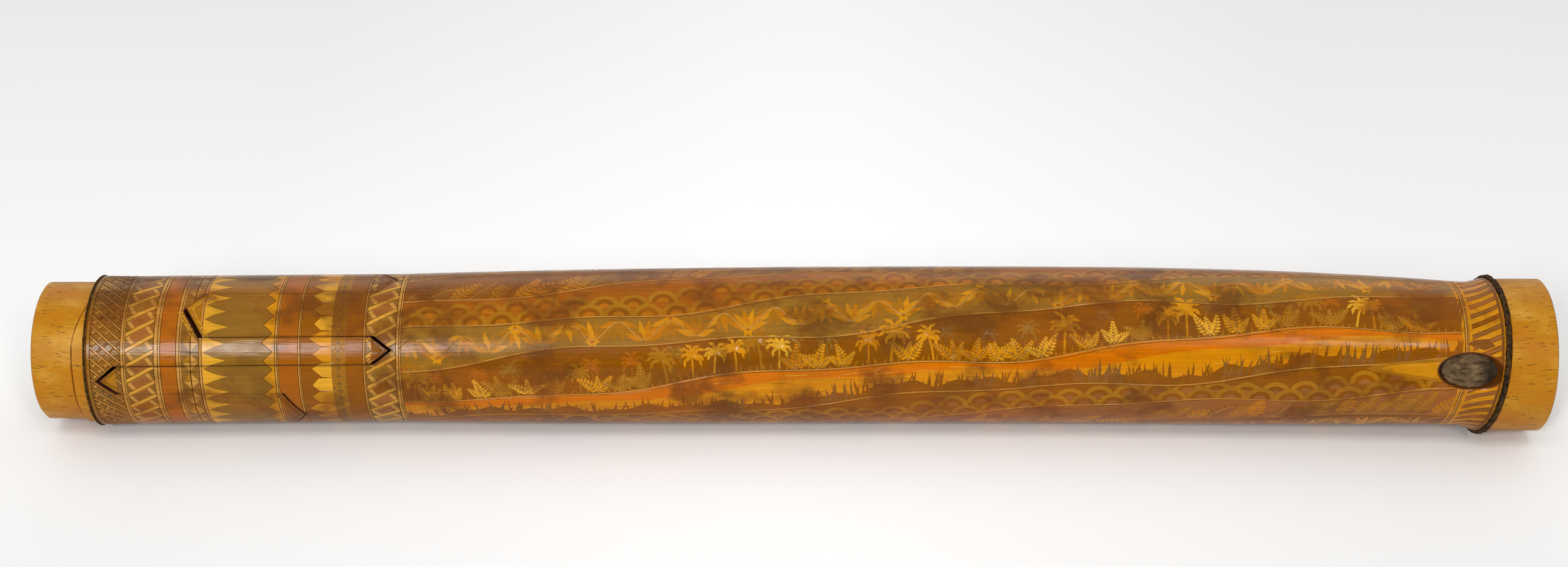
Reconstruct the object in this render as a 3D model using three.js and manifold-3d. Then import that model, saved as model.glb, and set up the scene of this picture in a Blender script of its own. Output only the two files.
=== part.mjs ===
// A bamboo letter case: one internode of a culm, closed at both ends by its own septa and cut in two
// along an interlocking seam, so that a lid with pointed tongues slides between the tongues of the body.
// Millimetres and degrees. X runs along the culm from the lid to the foot, Z is up, and -Y is the front.
import * as THREE from 'three';
import { mergeVertices } from 'three/addons/utils/BufferGeometryUtils.js';
import Module from 'manifold-3d';

const wasm = await Module();
wasm.setup();

// Lengths along the culm
const CASE_LENGTH = 469.6;
const LID_STUB_LENGTH = 17;
const FOOT_STUB_LENGTH = 17.8;
const LEDGE_WIDTH = 4;
const NODE_FADE = 9;
const WAIST_TO_NODE = 8;

// Where the belly is fullest, as a share of the internode
const BELLY_AT = 0.64;

// Radii of the internode's skin, how far the nodes swell out of it, and how much the lid's stub is pared
const CLOSURE_RADIUS = 23.5;
const BELLY_RADIUS = 24.9;
const WAIST_RADIUS = 22.6;
const LID_NODE_SWELL = 0.2;
const FOOT_NODE_SWELL = 1.45;
const LID_STUB_PARED = 1.9;
const LEDGE_HEIGHT = 0.9;

// Walls
const WALL = 4.8;
const SEPTUM = 3;
const SEPTUM_FILLET = 3;
const SAWN_CHAMFER = 0.6;

// Sheath scars: the corky collars left at the two nodes
const LID_RING_WIDTH = 1.3;
const LID_RING_PROUD = 0.35;
const FOOT_RING_WIDTH = 2.2;
const FOOT_RING_PROUD = 1.5;
const RING_DEPTH = 0.9;

// The sawn side branch above the foot node, and the groove that it leaves in the internode
const BRANCH_LENGTH = 17.4;
const BRANCH_WIDTH = 11.5;
const BRANCH_HEIGHT = 7;
const BRANCH_PROUD = 1.4;
const BRANCH_TO_NODE = 10;
const BRANCH_ANGLE = 17.3;
const GROOVE_LENGTH = 120;
const GROOVE_WIDTH = 18;
const GROOVE_DEPTH = 1.3;

// The seam. Lid and body tongues take turns round the culm, downwards from the one on top.
// The longest lid tongue ends at LID_REACH from the lid node and the longest body tongue at BODY_REACH.
// width is a tongue's part of the turn in degrees, and short is the part of the interlock by which its tip
// falls short.
const LID_REACH = 94.3;
const BODY_REACH = 4;
const FIRST_TONGUE_TOP = 113;
const TONGUES = [
  { lid: { width: 34, short: 0 }, body: { width: 38.3, short: 0.29 } },
  { lid: { width: 21.6, short: 0 }, body: { width: 23.4, short: 0 } },
  { lid: { width: 50.7, short: 0.31 }, body: { width: 38, short: 0.27 } },
  { lid: { width: 38, short: 0.08 }, body: { width: 39, short: 0.09 } },
  { lid: { width: 38, short: 0.21 }, body: { width: 39, short: 0.18 } },
];
const TIP_LENGTH = 5.7;
const SEAM_GAP = 0.4;
const TIP_GAP = 1;

// The inner sleeve, glued into the body's tongues, that the lid's tongues slide on
const SLEEVE_WALL = 1.8;
const SLEEVE_FROM_NODE = 7;
const SLEEVE_GRIP = 25;
const SLEEVE_LEAD_IN = 0.8;
const FIT_CLEARANCE = 0.3;

// The culm's bend in plan, largest towards the foot
const BOW = 5;

// The foot node leans: its top and its front grew further along than its bottom and its back.
// Both leans are those of the skin at the belly's radius. They come over LEAN_RISE before the node, and they
// are gone at the end, which is sawn square.
const TOP_LEAN = 2.3;
const FRONT_LEAN = 1.4;
const LEAN_RISE = 45;

// Facets: the turn starts half a facet off the top, so that flats face up and down
const FACETS = 40;
const CURVE_STEPS = 8;
const FACET_ANGLE = (2 * Math.PI) / FACETS;

// Stations along the culm
const lidEnd = -CASE_LENGTH / 2;
const footEnd = CASE_LENGTH / 2;
const lidNode = lidEnd + LID_STUB_LENGTH;
const footNode = footEnd - FOOT_STUB_LENGTH;
const internode = footNode - lidNode;
const belly = lidNode + BELLY_AT * internode;
const waist = footNode - WAIST_TO_NODE;
const closureEnd = lidNode + LID_REACH + TIP_GAP;
const seamMiddle = lidNode + (LID_REACH + BODY_REACH) / 2;

// Radii that follow from these
const closureBore = CLOSURE_RADIUS - WALL;
const lidNodeRadius = CLOSURE_RADIUS + LID_NODE_SWELL;
const lidStubRadius = lidNodeRadius - LID_STUB_PARED;
const ledgeRadius = lidStubRadius + LEDGE_HEIGHT;
const footNodeRadius = WAIST_RADIUS + FOOT_NODE_SWELL;
const lidChannelFloor = ledgeRadius - RING_DEPTH;
const footChannelFloor = footNodeRadius - RING_DEPTH;
const lidRingRadius = lidNodeRadius + LID_RING_PROUD;
const footRingRadius = footNodeRadius + FOOT_RING_PROUD;

// A closed geometry as a manifold solid: shared vertices are merged and triangles of no area dropped.
function toSolid(geometry) {
  const bare = geometry.clone();
  bare.deleteAttribute('normal');
  bare.deleteAttribute('uv');
  const merged = mergeVertices(bare, 1e-4);
  const triVerts = [];
  const index = merged.index.array;
  for (let i = 0; i < index.length; i += 3) {
    const [a, b, c] = [index[i], index[i + 1], index[i + 2]];
    if (a !== b && b !== c && c !== a) triVerts.push(a, b, c);
  }
  const surface = { numProp: 3, vertProperties: new Float32Array(merged.attributes.position.array) };
  return new wasm.Manifold(new wasm.Mesh({ ...surface, triVerts: new Uint32Array(triVerts) }));
}

// A solid's surface as a geometry.
function toGeometry(solid) {
  const { vertProperties, triVerts } = solid.getMesh();
  const geometry = new THREE.BufferGeometry();
  geometry.setAttribute('position', new THREE.BufferAttribute(vertProperties, 3));
  geometry.setIndex(new THREE.BufferAttribute(triVerts, 1));
  return geometry;
}

// A profile of (station, radius) points turned about the culm's axis.
function turned(points) {
  const profile = points.map((p) => new THREE.Vector2(p.y, p.x));
  return new THREE.LatheGeometry(profile, FACETS, FACET_ANGLE / 2).rotateZ(-Math.PI / 2);
}

// The run of the internode, thinning from the belly to the closure and to the waist as the cube of the way.
function addRun(outline, start, inset) {
  const full = BELLY_RADIUS - inset;
  const rise = (belly - start) / 3;
  const fall = (waist - belly) / 3;
  outline.lineTo(start, CLOSURE_RADIUS - inset);
  outline.bezierCurveTo(start + rise, full, belly - rise, full, belly, full);
  outline.bezierCurveTo(belly + fall, full, waist - fall, full, waist, WAIST_RADIUS - inset);
}

// The outer skin with both sawn stubs, from the lid septum's outer face to the foot septum's.
function skinProfile() {
  const lidStubBore = lidStubRadius - WALL;
  const footStubBore = footNodeRadius - WALL;
  const ledge = lidNode - LEDGE_WIDTH;
  const lidChannel = LID_RING_WIDTH / 2 + FIT_CLEARANCE;
  const footChannel = FOOT_RING_WIDTH / 2 + FIT_CLEARANCE;
  const outline = new THREE.Path();
  outline.moveTo(lidNode - SEPTUM / 2, 0);
  outline.lineTo(lidNode - SEPTUM / 2, lidStubBore);
  outline.lineTo(lidEnd, lidStubBore);
  outline.lineTo(lidEnd, lidStubRadius - SAWN_CHAMFER);
  outline.lineTo(lidEnd + SAWN_CHAMFER, lidStubRadius);
  outline.lineTo(ledge, lidStubRadius);
  outline.lineTo(ledge + LEDGE_HEIGHT, ledgeRadius);
  outline.lineTo(lidNode - lidChannel, ledgeRadius);
  outline.lineTo(lidNode - lidChannel, lidChannelFloor);
  outline.lineTo(lidNode + lidChannel, lidChannelFloor);
  outline.lineTo(lidNode + lidChannel, lidNodeRadius);
  outline.lineTo(lidNode + NODE_FADE, CLOSURE_RADIUS);
  addRun(outline, closureEnd, 0);
  outline.quadraticCurveTo(footNode - footChannel, WAIST_RADIUS, footNode - footChannel, footNodeRadius);
  outline.lineTo(footNode - footChannel, footChannelFloor);
  outline.lineTo(footNode + footChannel, footChannelFloor);
  outline.lineTo(footNode + footChannel, footNodeRadius);
  outline.lineTo(footEnd - SAWN_CHAMFER, footNodeRadius);
  outline.lineTo(footEnd, footNodeRadius - SAWN_CHAMFER);
  outline.lineTo(footEnd, footStubBore);
  outline.lineTo(footNode + SEPTUM / 2, footStubBore);
  outline.lineTo(footNode + SEPTUM / 2, 0);
  return outline.getPoints(CURVE_STEPS);
}

// The hollow of the internode, one wall inside the skin, rounded into both septa.
function hollowProfile() {
  const start = lidNode + SEPTUM / 2;
  const end = footNode - SEPTUM / 2;
  const footBore = WAIST_RADIUS - WALL;
  const outline = new THREE.Path();
  outline.moveTo(start, 0);
  outline.lineTo(start, closureBore - SEPTUM_FILLET);
  outline.quadraticCurveTo(start, closureBore, start + SEPTUM_FILLET, closureBore);
  addRun(outline, closureEnd + SLEEVE_GRIP, WALL);
  outline.lineTo(end - SEPTUM_FILLET, footBore);
  outline.quadraticCurveTo(end, footBore, end, footBore - SEPTUM_FILLET);
  outline.lineTo(end, 0);
  return outline.getPoints(CURVE_STEPS);
}

// Pulls the skin in along the groove that runs up the internode from the branch.
function pressGroove(geometry) {
  const branch = footNode - BRANCH_TO_NODE;
  const axis = THREE.MathUtils.degToRad(BRANCH_ANGLE);
  const position = geometry.getAttribute('position');
  const point = new THREE.Vector3();
  for (let i = 0; i < position.count; i += 1) {
    point.fromBufferAttribute(position, i);
    const radius = Math.hypot(point.y, point.z);
    const along = 1 - (branch - point.x) / GROOVE_LENGTH;
    const offset = (Math.atan2(point.z, -point.y) - axis) * radius;
    const across = (2 * Math.abs(offset)) / GROOVE_WIDTH;
    if (along <= 0 || point.x >= waist || across >= 1) continue;
    const depth = GROOVE_DEPTH * Math.min(along, 1) ** 2 * Math.cos((across * Math.PI) / 2) ** 2;
    const shrink = (radius - depth) / radius;
    position.setXYZ(i, point.x, point.y * shrink, point.z * shrink);
  }
  return geometry;
}

// The branch stub's egg shape, seated where the groove ends; grow widens it into its socket.
function branchEgg(grow) {
  const egg = new THREE.SphereGeometry(1, 20, 12);
  egg.rotateX(Math.PI / 2);
  egg.scale(BRANCH_LENGTH / 2 + grow, BRANCH_WIDTH / 2 + grow, BRANCH_HEIGHT / 2 + grow);
  egg.translate(footNode - BRANCH_TO_NODE, 0, WAIST_RADIUS + BRANCH_PROUD - BRANCH_HEIGHT / 2);
  egg.rotateX(THREE.MathUtils.degToRad(90 - BRANCH_ANGLE));
  return egg;
}

// A tongue's pointed outline, wrapped on the culm as a wedge that goes right through the wall.
// The wedge starts at the seam's middle, and side is 1 to widen it by half the gaps or -1 to narrow it.
function tongueWedge(top, bottom, tip, side) {
  const forward = Math.sign(tip - seamMiddle);
  const inner = closureBore / 2;
  const outer = CLOSURE_RADIUS * 1.5;
  const grow = (side * SEAM_GAP) / 2 / CLOSURE_RADIUS;
  const point = tip + (forward * side * TIP_GAP) / 2;
  const shoulder = point - forward * TIP_LENGTH;
  const tail = seamMiddle - forward * TIP_LENGTH;
  const [low, high, middle] = [bottom - grow, top + grow, (top + bottom) / 2];
  const outline = new THREE.Shape();
  outline.moveTo(tail, middle);
  outline.lineTo(seamMiddle, low);
  outline.lineTo(shoulder, low);
  outline.lineTo(point, middle);
  outline.lineTo(shoulder, high);
  outline.lineTo(seamMiddle, high);
  const wedge = new THREE.ExtrudeGeometry(outline, { depth: outer - inner, bevelEnabled: false });
  const position = wedge.getAttribute('position');
  for (let i = 0; i < position.count; i += 1) {
    const radius = inner + position.getZ(i);
    const angle = position.getY(i);
    position.setXYZ(i, position.getX(i), -radius * Math.cos(angle), radius * Math.sin(angle));
  }
  return toSolid(wedge);
}

// Every lid wedge and every body wedge, joined, widened (side 1) or narrowed (side -1).
function seamWedges(side) {
  const interlock = LID_REACH - BODY_REACH;
  const turn = TONGUES.reduce((sum, { lid, body }) => sum + lid.width + body.width, 0);
  const wedges = { lid: [], body: [] };
  let top = THREE.MathUtils.degToRad(FIRST_TONGUE_TOP);
  for (const { lid, body } of TONGUES) {
    const joint = top - (2 * Math.PI * lid.width) / turn;
    const bottom = joint - (2 * Math.PI * body.width) / turn;
    const lidTip = lidNode + LID_REACH - lid.short * interlock;
    const bodyTip = lidNode + BODY_REACH + body.short * interlock;
    wedges.lid.push(tongueWedge(top, joint, lidTip, side));
    wedges.body.push(tongueWedge(joint, bottom, bodyTip, side));
    top = bottom;
  }
  const joined = (solids) => solids.reduce((sum, solid) => sum.add(solid));
  return { lid: joined(wedges.lid), body: joined(wedges.body) };
}

// A block over one half of the culm, from the seam's middle past that half's end.
function halfBlock(end) {
  const width = 4 * BELLY_RADIUS;
  const length = 2 * Math.abs(end - seamMiddle);
  const block = new THREE.BoxGeometry(length, width, width);
  return toSolid(block.translate(seamMiddle + (Math.sign(end - seamMiddle) * length) / 2, 0, 0));
}

// The culm cut along the seam: the lid with its tongues, and the body with its tongues and branch socket.
function cutCulm() {
  const culm = toSolid(pressGroove(turned(skinProfile()))).subtract(toSolid(turned(hollowProfile())));
  const narrow = seamWedges(-1);
  const wide = seamWedges(1);
  const lid = culm.intersect(halfBlock(lidEnd).add(narrow.lid)).subtract(wide.body);
  const body = culm.intersect(halfBlock(footEnd).add(narrow.body)).subtract(wide.lid);
  return { lid: toGeometry(lid), body: toGeometry(body.subtract(toSolid(branchEgg(FIT_CLEARANCE)))) };
}

// The bamboo sleeve that bridges the seam from inside, with a lead-in at its lid end.
function sleeve() {
  const start = lidNode + SLEEVE_FROM_NODE;
  const end = closureEnd + SLEEVE_GRIP;
  const outer = closureBore - FIT_CLEARANCE;
  const inner = outer - SLEEVE_WALL;
  const outline = new THREE.Path();
  outline.moveTo(start, inner);
  outline.lineTo(start, outer - SLEEVE_LEAD_IN);
  outline.lineTo(start + SLEEVE_LEAD_IN, outer);
  outline.lineTo(end, outer);
  outline.lineTo(end, inner);
  outline.lineTo(start, inner);
  return toGeometry(toSolid(turned(outline.getPoints())));
}

// A corky collar in its channel at a node, rounded where it stands proud of the skin.
function sheathRing(node, width, channelFloor, crest) {
  const inner = channelFloor + FIT_CLEARANCE;
  const shoulder = (inner + crest) / 2;
  const outline = new THREE.Path();
  outline.moveTo(node - width / 2, inner);
  outline.lineTo(node - width / 2, shoulder);
  outline.quadraticCurveTo(node - width / 2, crest, node, crest);
  outline.quadraticCurveTo(node + width / 2, crest, node + width / 2, shoulder);
  outline.lineTo(node + width / 2, inner);
  outline.lineTo(node - width / 2, inner);
  return toGeometry(toSolid(turned(outline.getPoints(CURVE_STEPS / 4))));
}

// Bends a straight piece into the line of the culm: leaning at the foot, bowed back in plan, and level on
// its two nodes.
function bend(geometry) {
  const position = geometry.getAttribute('position');
  const peak = 0.2 ** 0.25;
  const largest = peak - peak ** 5;
  for (let i = 0; i < position.count; i += 1) {
    const [x, y, z] = [position.getX(i), position.getY(i), position.getZ(i)];
    const along = THREE.MathUtils.clamp((x - lidNode) / internode, 0, 1);
    const sway = (BOW * (along - along ** 5)) / largest;
    const height = THREE.MathUtils.lerp(lidRingRadius, footRingRadius, along);
    const rise = THREE.MathUtils.smoothstep(x, footNode - LEAN_RISE, footNode - FOOT_RING_WIDTH);
    const fall = THREE.MathUtils.smoothstep(x, footNode + FOOT_RING_WIDTH, footEnd - SAWN_CHAMFER);
    const lean = ((rise - fall) * (TOP_LEAN * z - FRONT_LEAN * y)) / BELLY_RADIUS;
    position.setXYZ(i, x + lean, y + sway, z + height);
  }
  return geometry;
}

// Finishes
const skin = new THREE.MeshStandardMaterial({ color: '#a5641c', roughness: 0.35, metalness: 0 });
const lining = new THREE.MeshStandardMaterial({ color: '#c79a55', roughness: 0.6, metalness: 0 });
const cork = new THREE.MeshStandardMaterial({ color: '#4a3014', roughness: 0.85, metalness: 0 });
const scar = new THREE.MeshStandardMaterial({ color: '#644c30', roughness: 0.9, metalness: 0 });

const letterCase = new THREE.Group();

function addPiece(name, geometry, material) {
  const mesh = new THREE.Mesh(bend(geometry), material);
  mesh.name = name;
  letterCase.add(mesh);
}

const culm = cutCulm();
addPiece('body_culm', culm.body, skin);
addPiece('lid_culm', culm.lid, skin);
addPiece('inner_sleeve', sleeve(), lining);
addPiece('lid_sheath_ring', sheathRing(lidNode, LID_RING_WIDTH, lidChannelFloor, lidRingRadius), cork);
addPiece('foot_sheath_ring', sheathRing(footNode, FOOT_RING_WIDTH, footChannelFloor, footRingRadius), cork);
addPiece('branch_stub', branchEgg(0), scar);

// The origin is under the middle of the case's box, on the surface that it lies on.
const box = new THREE.Box3().setFromObject(letterCase);
const middle = box.getCenter(new THREE.Vector3());
letterCase.position.set(-middle.x, -middle.y, -box.min.z);

export default letterCase;
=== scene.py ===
"""Looks of an engraved bamboo letter case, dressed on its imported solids.

Everything on the culm's skin is drawn flat first, as on a sheet wrapped round the culm: x runs along the
culm and s round it, both in millimetres, with s = 0 at the front and growing upwards. The drawing is then
cut into triangles, laid on the culm's form and closed into the walls, septa and sawn ends of both halves.
"""

import logging
import math
import random
from collections.abc import Sequence
from dataclasses import dataclass, field
from enum import Enum
from typing import NamedTuple

import bpy
import numpy as np
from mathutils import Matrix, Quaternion, Vector
from mathutils.geometry import delaunay_2d_cdt


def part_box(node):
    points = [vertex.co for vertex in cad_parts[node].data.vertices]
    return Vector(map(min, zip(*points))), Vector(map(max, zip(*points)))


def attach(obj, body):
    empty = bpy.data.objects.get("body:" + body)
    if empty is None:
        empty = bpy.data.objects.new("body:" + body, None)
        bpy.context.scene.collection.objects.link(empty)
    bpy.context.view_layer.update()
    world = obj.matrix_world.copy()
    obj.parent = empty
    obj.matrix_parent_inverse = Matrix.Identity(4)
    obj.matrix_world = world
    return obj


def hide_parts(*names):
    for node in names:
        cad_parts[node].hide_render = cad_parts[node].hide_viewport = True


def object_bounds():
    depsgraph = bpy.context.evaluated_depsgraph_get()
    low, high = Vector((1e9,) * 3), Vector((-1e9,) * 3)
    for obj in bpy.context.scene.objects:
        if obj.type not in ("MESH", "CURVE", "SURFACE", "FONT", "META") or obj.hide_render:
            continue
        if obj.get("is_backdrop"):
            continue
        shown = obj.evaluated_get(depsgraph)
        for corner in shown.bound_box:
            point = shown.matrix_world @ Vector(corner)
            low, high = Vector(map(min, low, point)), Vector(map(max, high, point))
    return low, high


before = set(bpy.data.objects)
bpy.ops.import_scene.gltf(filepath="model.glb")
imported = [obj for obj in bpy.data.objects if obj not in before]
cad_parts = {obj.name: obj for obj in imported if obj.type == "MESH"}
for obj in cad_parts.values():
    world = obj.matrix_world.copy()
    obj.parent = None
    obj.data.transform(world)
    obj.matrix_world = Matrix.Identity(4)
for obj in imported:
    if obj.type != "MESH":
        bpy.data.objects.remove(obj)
cad_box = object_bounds()

LOG = logging.getLogger("letter_case")
MM = 0.001
SKIN_RADIUS = 24.0
TURN = 2 * math.pi * SKIN_RADIUS
ROUND_STEP = 2.2
LENGTH_STEP = 12.0
CUT_DEPTH = 0.16
STRAIGHT = 0.006
MERGE = 1e-4
BORE_MERGE = 1e-5
ON_BORDER = 1e-3
FACET_FLAT = math.cos(math.pi / 40)

Point = tuple[float, float]
Edge = tuple[int, int]
Colour = tuple[int, int, int]
Grain = tuple[float, float, float]
Socket = bpy.types.NodeSocket


class Half(Enum):
    """The two halves that the seam parts; the value is the way from the seam to the half's own end."""

    LID = -1
    BODY = 1


class Tone(Enum):
    """A stain of the engraving: red, green and blue of the polished skin, from 0 to 255."""

    STRAW = (196, 142, 34)
    BRIGHT = (186, 98, 0)
    GOLD = (182, 121, 12)
    SKY = (190, 120, 4)
    HONEY = (168, 104, 7)
    ORANGE = (157, 92, 8)
    RUST = (146, 80, 8)
    OCHRE = (146, 96, 15)
    BROWN = (124, 71, 3)
    OLIVE = (128, 90, 26)
    MOSS = (117, 81, 26)
    UMBER = (103, 64, 20)
    SLATE = (84, 72, 50)
    TAN = (172, 124, 54)
    FLAX = (188, 136, 48)
    HAZEL = (120, 77, 28)
    MAUVE = (134, 82, 36)
    LINE = (88, 48, 14)
    # Painted shade: the dark red of the seam's walls down in its narrow gaps.
    GAP = (70, 22, 8)
    # Soot in some cut lines, and painted shade round the branch scar.
    SOOT = (48, 27, 10)
    PARED = (169, 115, 10)
    SAWN = (196, 152, 84)
    INSIDE = (205, 170, 112)

    def linear(self) -> tuple[float, float, float, float]:
        """The stain as a linear colour with full alpha."""
        return linear_colour(self.value)


class Surface(Enum):
    """Which finish a face of the culm takes; the value is its material slot."""

    SKIN = 0
    PARED = 1
    SAWN = 2
    INSIDE = 3


def srgb_to_linear(value: float) -> float:
    """A display value from 0 to 1 as linear light."""
    return value / 12.92 if value <= 0.04045 else ((value + 0.055) / 1.055) ** 2.4


def linear_colour(colour: Colour) -> tuple[float, float, float, float]:
    """A display colour from 0 to 255 as linear light with full alpha."""
    return (*(srgb_to_linear(channel / 255) for channel in colour), 1.0)


def smooth(value: np.ndarray) -> np.ndarray:
    """A step that eases in and out as the value goes from 0 to 1."""
    t = np.clip(value, 0.0, 1.0)
    return t * t * (3 - 2 * t)


def arc(degrees: float) -> float:
    """The distance round the skin, from the front upwards, of an angle in degrees."""
    return math.radians(degrees) * SKIN_RADIUS


@dataclass(frozen=True)
class CulmForm:
    """The grown form of the culm: its line, its radii and what grew on it, in millimetres."""

    lid_end: float
    lid_node: float
    foot_node: float
    lid_axis: Point
    foot_axis: Point
    bow: float = 5.0
    belly_at: float = 0.64
    closure_reach: float = 95.3
    waist_to_node: float = 8.0
    closure_radius: float = 23.5
    belly_radius: float = 24.9
    waist_radius: float = 22.6
    lid_swell: float = 0.2
    foot_swell: float = 1.45
    stub_pared: float = 1.9
    foot_stub: float = 17.8
    chamfer: float = 0.6
    ledge_width: float = 4.0
    ledge_height: float = 0.95
    ledge_rise: float = 0.3
    ledge_fade: float = 1.5
    ledge_turn: float = -25.0
    node_fade: float = 9.0
    lid_channel: float = 0.6
    foot_channel: float = 1.1
    channel_depth: float = 0.7
    wall: float = 4.8
    septum: float = 3.0
    groove_length: float = 130.0
    groove_width: float = 17.0
    groove_depth: float = 1.5
    branch_to_node: float = 10.0
    branch_angle: float = 17.3
    branch_half_length: float = 8.9
    branch_half_width: float = 5.9
    seat_depth: float = 2.4
    seat_edge: Point = (0.9, 0.12)
    lip_height: float = 0.7
    lip_edge: Point = (1.2, 0.2)
    grown_hollow: float = 0.025
    pared_hollow: float = 0.06
    step_width: float = 0.08
    top_lean: float = 2.3
    front_lean: float = 1.4
    lean_reach: float = 45.0
    lean_hold: float = 2.2

    @classmethod
    def from_frame(cls) -> "CulmForm":
        """The form whose ends and nodes lie where the solids have them."""
        places = {}
        for node in ("lid_sheath_ring", "foot_sheath_ring"):
            low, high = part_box(node)
            places[node] = (low + high) / 2 / MM
        lid, foot = places["lid_sheath_ring"], places["foot_sheath_ring"]
        return cls(
            lid_end=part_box("lid_culm")[0].x / MM,
            lid_node=lid.x,
            foot_node=foot.x,
            lid_axis=(lid.y, lid.z),
            foot_axis=(foot.y, foot.z),
        )

    @property
    def foot_end(self) -> float:
        """The station of the foot's sawn end, in its middle."""
        return self.foot_node + self.foot_stub

    @property
    def foot_way(self) -> Vector:
        """The way that the leaning foot node faces."""
        return Vector((self.belly_radius, self.front_lean, -self.top_lean)).normalized()

    @property
    def branch(self) -> Point:
        """The middle of the branch scar on the flat sheet."""
        return self.foot_node - self.branch_to_node, arc(self.branch_angle)

    def axis(self, x: np.ndarray) -> tuple[np.ndarray, np.ndarray]:
        """The culm's middle at some stations.

        Args:
            x: Stations along the culm.

        Returns:
            The middle's y and z.
        """
        peak = 0.2**0.25
        along = np.clip((x - self.lid_node) / (self.foot_node - self.lid_node), 0, 1)
        sway = self.bow * (along - along**5) / (peak - peak**5)
        y = self.lid_axis[0] + (self.foot_axis[0] - self.lid_axis[0]) * along + sway
        z = self.lid_axis[1] + (self.foot_axis[1] - self.lid_axis[1]) * along
        return y, z

    def run(self, x: np.ndarray) -> np.ndarray:
        """The internode's plain radius, thinning from the belly both ways as the cube of the way."""
        start = self.lid_node + self.closure_reach
        waist = self.foot_node - self.waist_to_node
        belly = self.lid_node + self.belly_at * (self.foot_node - self.lid_node)
        rise = np.clip((belly - x) / (belly - start), 0, 1) ** 3
        fall = np.clip((x - belly) / (waist - belly), 0, 1) ** 3
        radius = self.belly_radius - rise * (self.belly_radius - self.closure_radius)
        return radius - fall * (self.belly_radius - self.waist_radius)

    def step(self, x: np.ndarray, at: float) -> np.ndarray:
        """0 before a station and 1 after it."""
        return np.clip((x - at) / self.step_width, 0, 1)

    def radius(self, x: np.ndarray, s: np.ndarray) -> np.ndarray:
        """The skin's radius.

        Args:
            x: Stations along the culm.
            s: Distances round the skin.

        Returns:
            The radius at each point, with nodes, channels, groove, branch seat and hand work.
        """
        waist = self.foot_node - self.waist_to_node
        flare_end = self.foot_node - self.foot_channel
        radius = self.run(x)
        radius = radius + self.foot_swell * np.clip((x - waist) / (flare_end - waist), 0, 1) ** 2
        radius = radius + self.lid_swell * np.clip(1 - (x - self.lid_node) / self.node_fade, 0, 1)
        stub = self.closure_radius + self.lid_swell - self.stub_pared
        width = self.ledge_edge(s)
        rise = np.clip((x - self.lid_node + width) / self.ledge_rise, 0, 1)
        before = stub + self.ledge_height * rise * np.clip(width / self.ledge_fade, 0, 1)
        radius = before + (radius - before) * self.step(x, self.lid_node - self.lid_channel)
        for node, half in ((self.lid_node, self.lid_channel), (self.foot_node, self.foot_channel)):
            inside = self.step(x, node - half) - self.step(x, node + half - self.step_width)
            radius = radius - self.channel_depth * inside
        radius = radius - self._groove(x, s) + self._branch_seat(x, s) - self._unevenness(x, s)
        return radius * FACET_FLAT

    def ledge_edge(self, s: np.ndarray) -> np.ndarray:
        """How far the ledge by the lid node reaches over the stub; it runs out at the top and back."""
        turn = s / SKIN_RADIUS - math.radians(self.ledge_turn)
        return self.ledge_width * smooth((np.cos(turn) + 0.35) / 0.9)

    def _groove(self, x: np.ndarray, s: np.ndarray) -> np.ndarray:
        """The depth of the groove that the side branch left in the internode."""
        branch, middle = self.branch
        along = np.clip(1 - (branch - x) / self.groove_length, 0, 1) ** 2
        along = along * (1 - smooth((x - branch) / self.branch_half_length))
        across = np.clip(2 * np.abs(s - middle) / self.groove_width, 0, 1)
        return self.groove_depth * along * np.cos(across * math.pi / 2) ** 2

    def _branch_seat(self, x: np.ndarray, s: np.ndarray) -> np.ndarray:
        """The dish under the branch scar, negative, and the lip of skin round it, positive."""
        branch, middle = self.branch
        away = np.hypot((x - branch) / self.branch_half_length, (s - middle) / self.branch_half_width)
        dish = self.seat_depth * (1 - smooth((away - self.seat_edge[0]) / self.seat_edge[1]))
        lip = self.lip_height * np.exp(-(((away - self.lip_edge[0]) / self.lip_edge[1]) ** 2))
        return lip * (x < self.foot_node - self.foot_channel) - dish

    def _unevenness(self, x: np.ndarray, s: np.ndarray) -> np.ndarray:
        """The small hollows of a grown and scraped skin, never proud of its true radius."""
        angle = s / SKIN_RADIUS
        grown = 2 + np.sin(3 * angle + x / 61) + np.sin(5 * angle - x / 37 + 1.3)
        pared = 2 + np.sin(9 * angle + 0.6) + np.sin(14 * angle + x / 9)
        stubs = 1 - self.step(x, self.lid_node - self.lid_channel)
        stubs = stubs + self.step(x, self.foot_node + self.foot_channel)
        return self.grown_hollow * grown + self.pared_hollow * pared * stubs

    def place(self, x: np.ndarray, s: np.ndarray, radius: np.ndarray) -> np.ndarray:
        """Points of the flat sheet at given radii, in the frame.

        Args:
            x: Stations along the culm.
            s: Distances round the skin.
            radius: Distances from the culm's middle.

        Returns:
            Rows of x, y and z in metres.
        """
        y, z = self.axis(x)
        front, up = radius * np.cos(s / SKIN_RADIUS), radius * np.sin(s / SKIN_RADIUS)
        rise = smooth((x - self.foot_node + self.lean_reach) / (self.lean_reach - self.lean_hold))
        straightened = self.foot_stub - self.lean_hold - self.chamfer
        fall = smooth((x - self.foot_node - self.lean_hold) / straightened)
        x = x + (rise - fall) * (self.top_lean * up + self.front_lean * front) / self.belly_radius
        return np.stack([x, y - front, z + up], axis=1) * MM

    def normals(self, x: np.ndarray, s: np.ndarray) -> np.ndarray:
        """The skin's outward directions, from points a little apart on it."""
        reach = 0.03
        ends = []
        for dx, ds in ((reach, 0), (0, reach)):
            ahead = self.place(x + dx, s + ds, self.radius(x + dx, s + ds))
            back = self.place(x - dx, s - ds, self.radius(x - dx, s - ds))
            ends.append(ahead - back)
        across = np.cross(ends[0], ends[1])
        return across / np.linalg.norm(across, axis=1, keepdims=True)


@dataclass(frozen=True)
class Tongue:
    """One arrow-tipped tongue of the seam: its half, its angles in degrees and its tip's station."""

    half: Half
    top: float
    bottom: float
    tip: float
    raised: float = 0.0

    @property
    def middle(self) -> float:
        """The angle of the tip, which may be raised from the middle of the sides."""
        return (self.top + self.bottom) / 2 + self.raised


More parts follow.
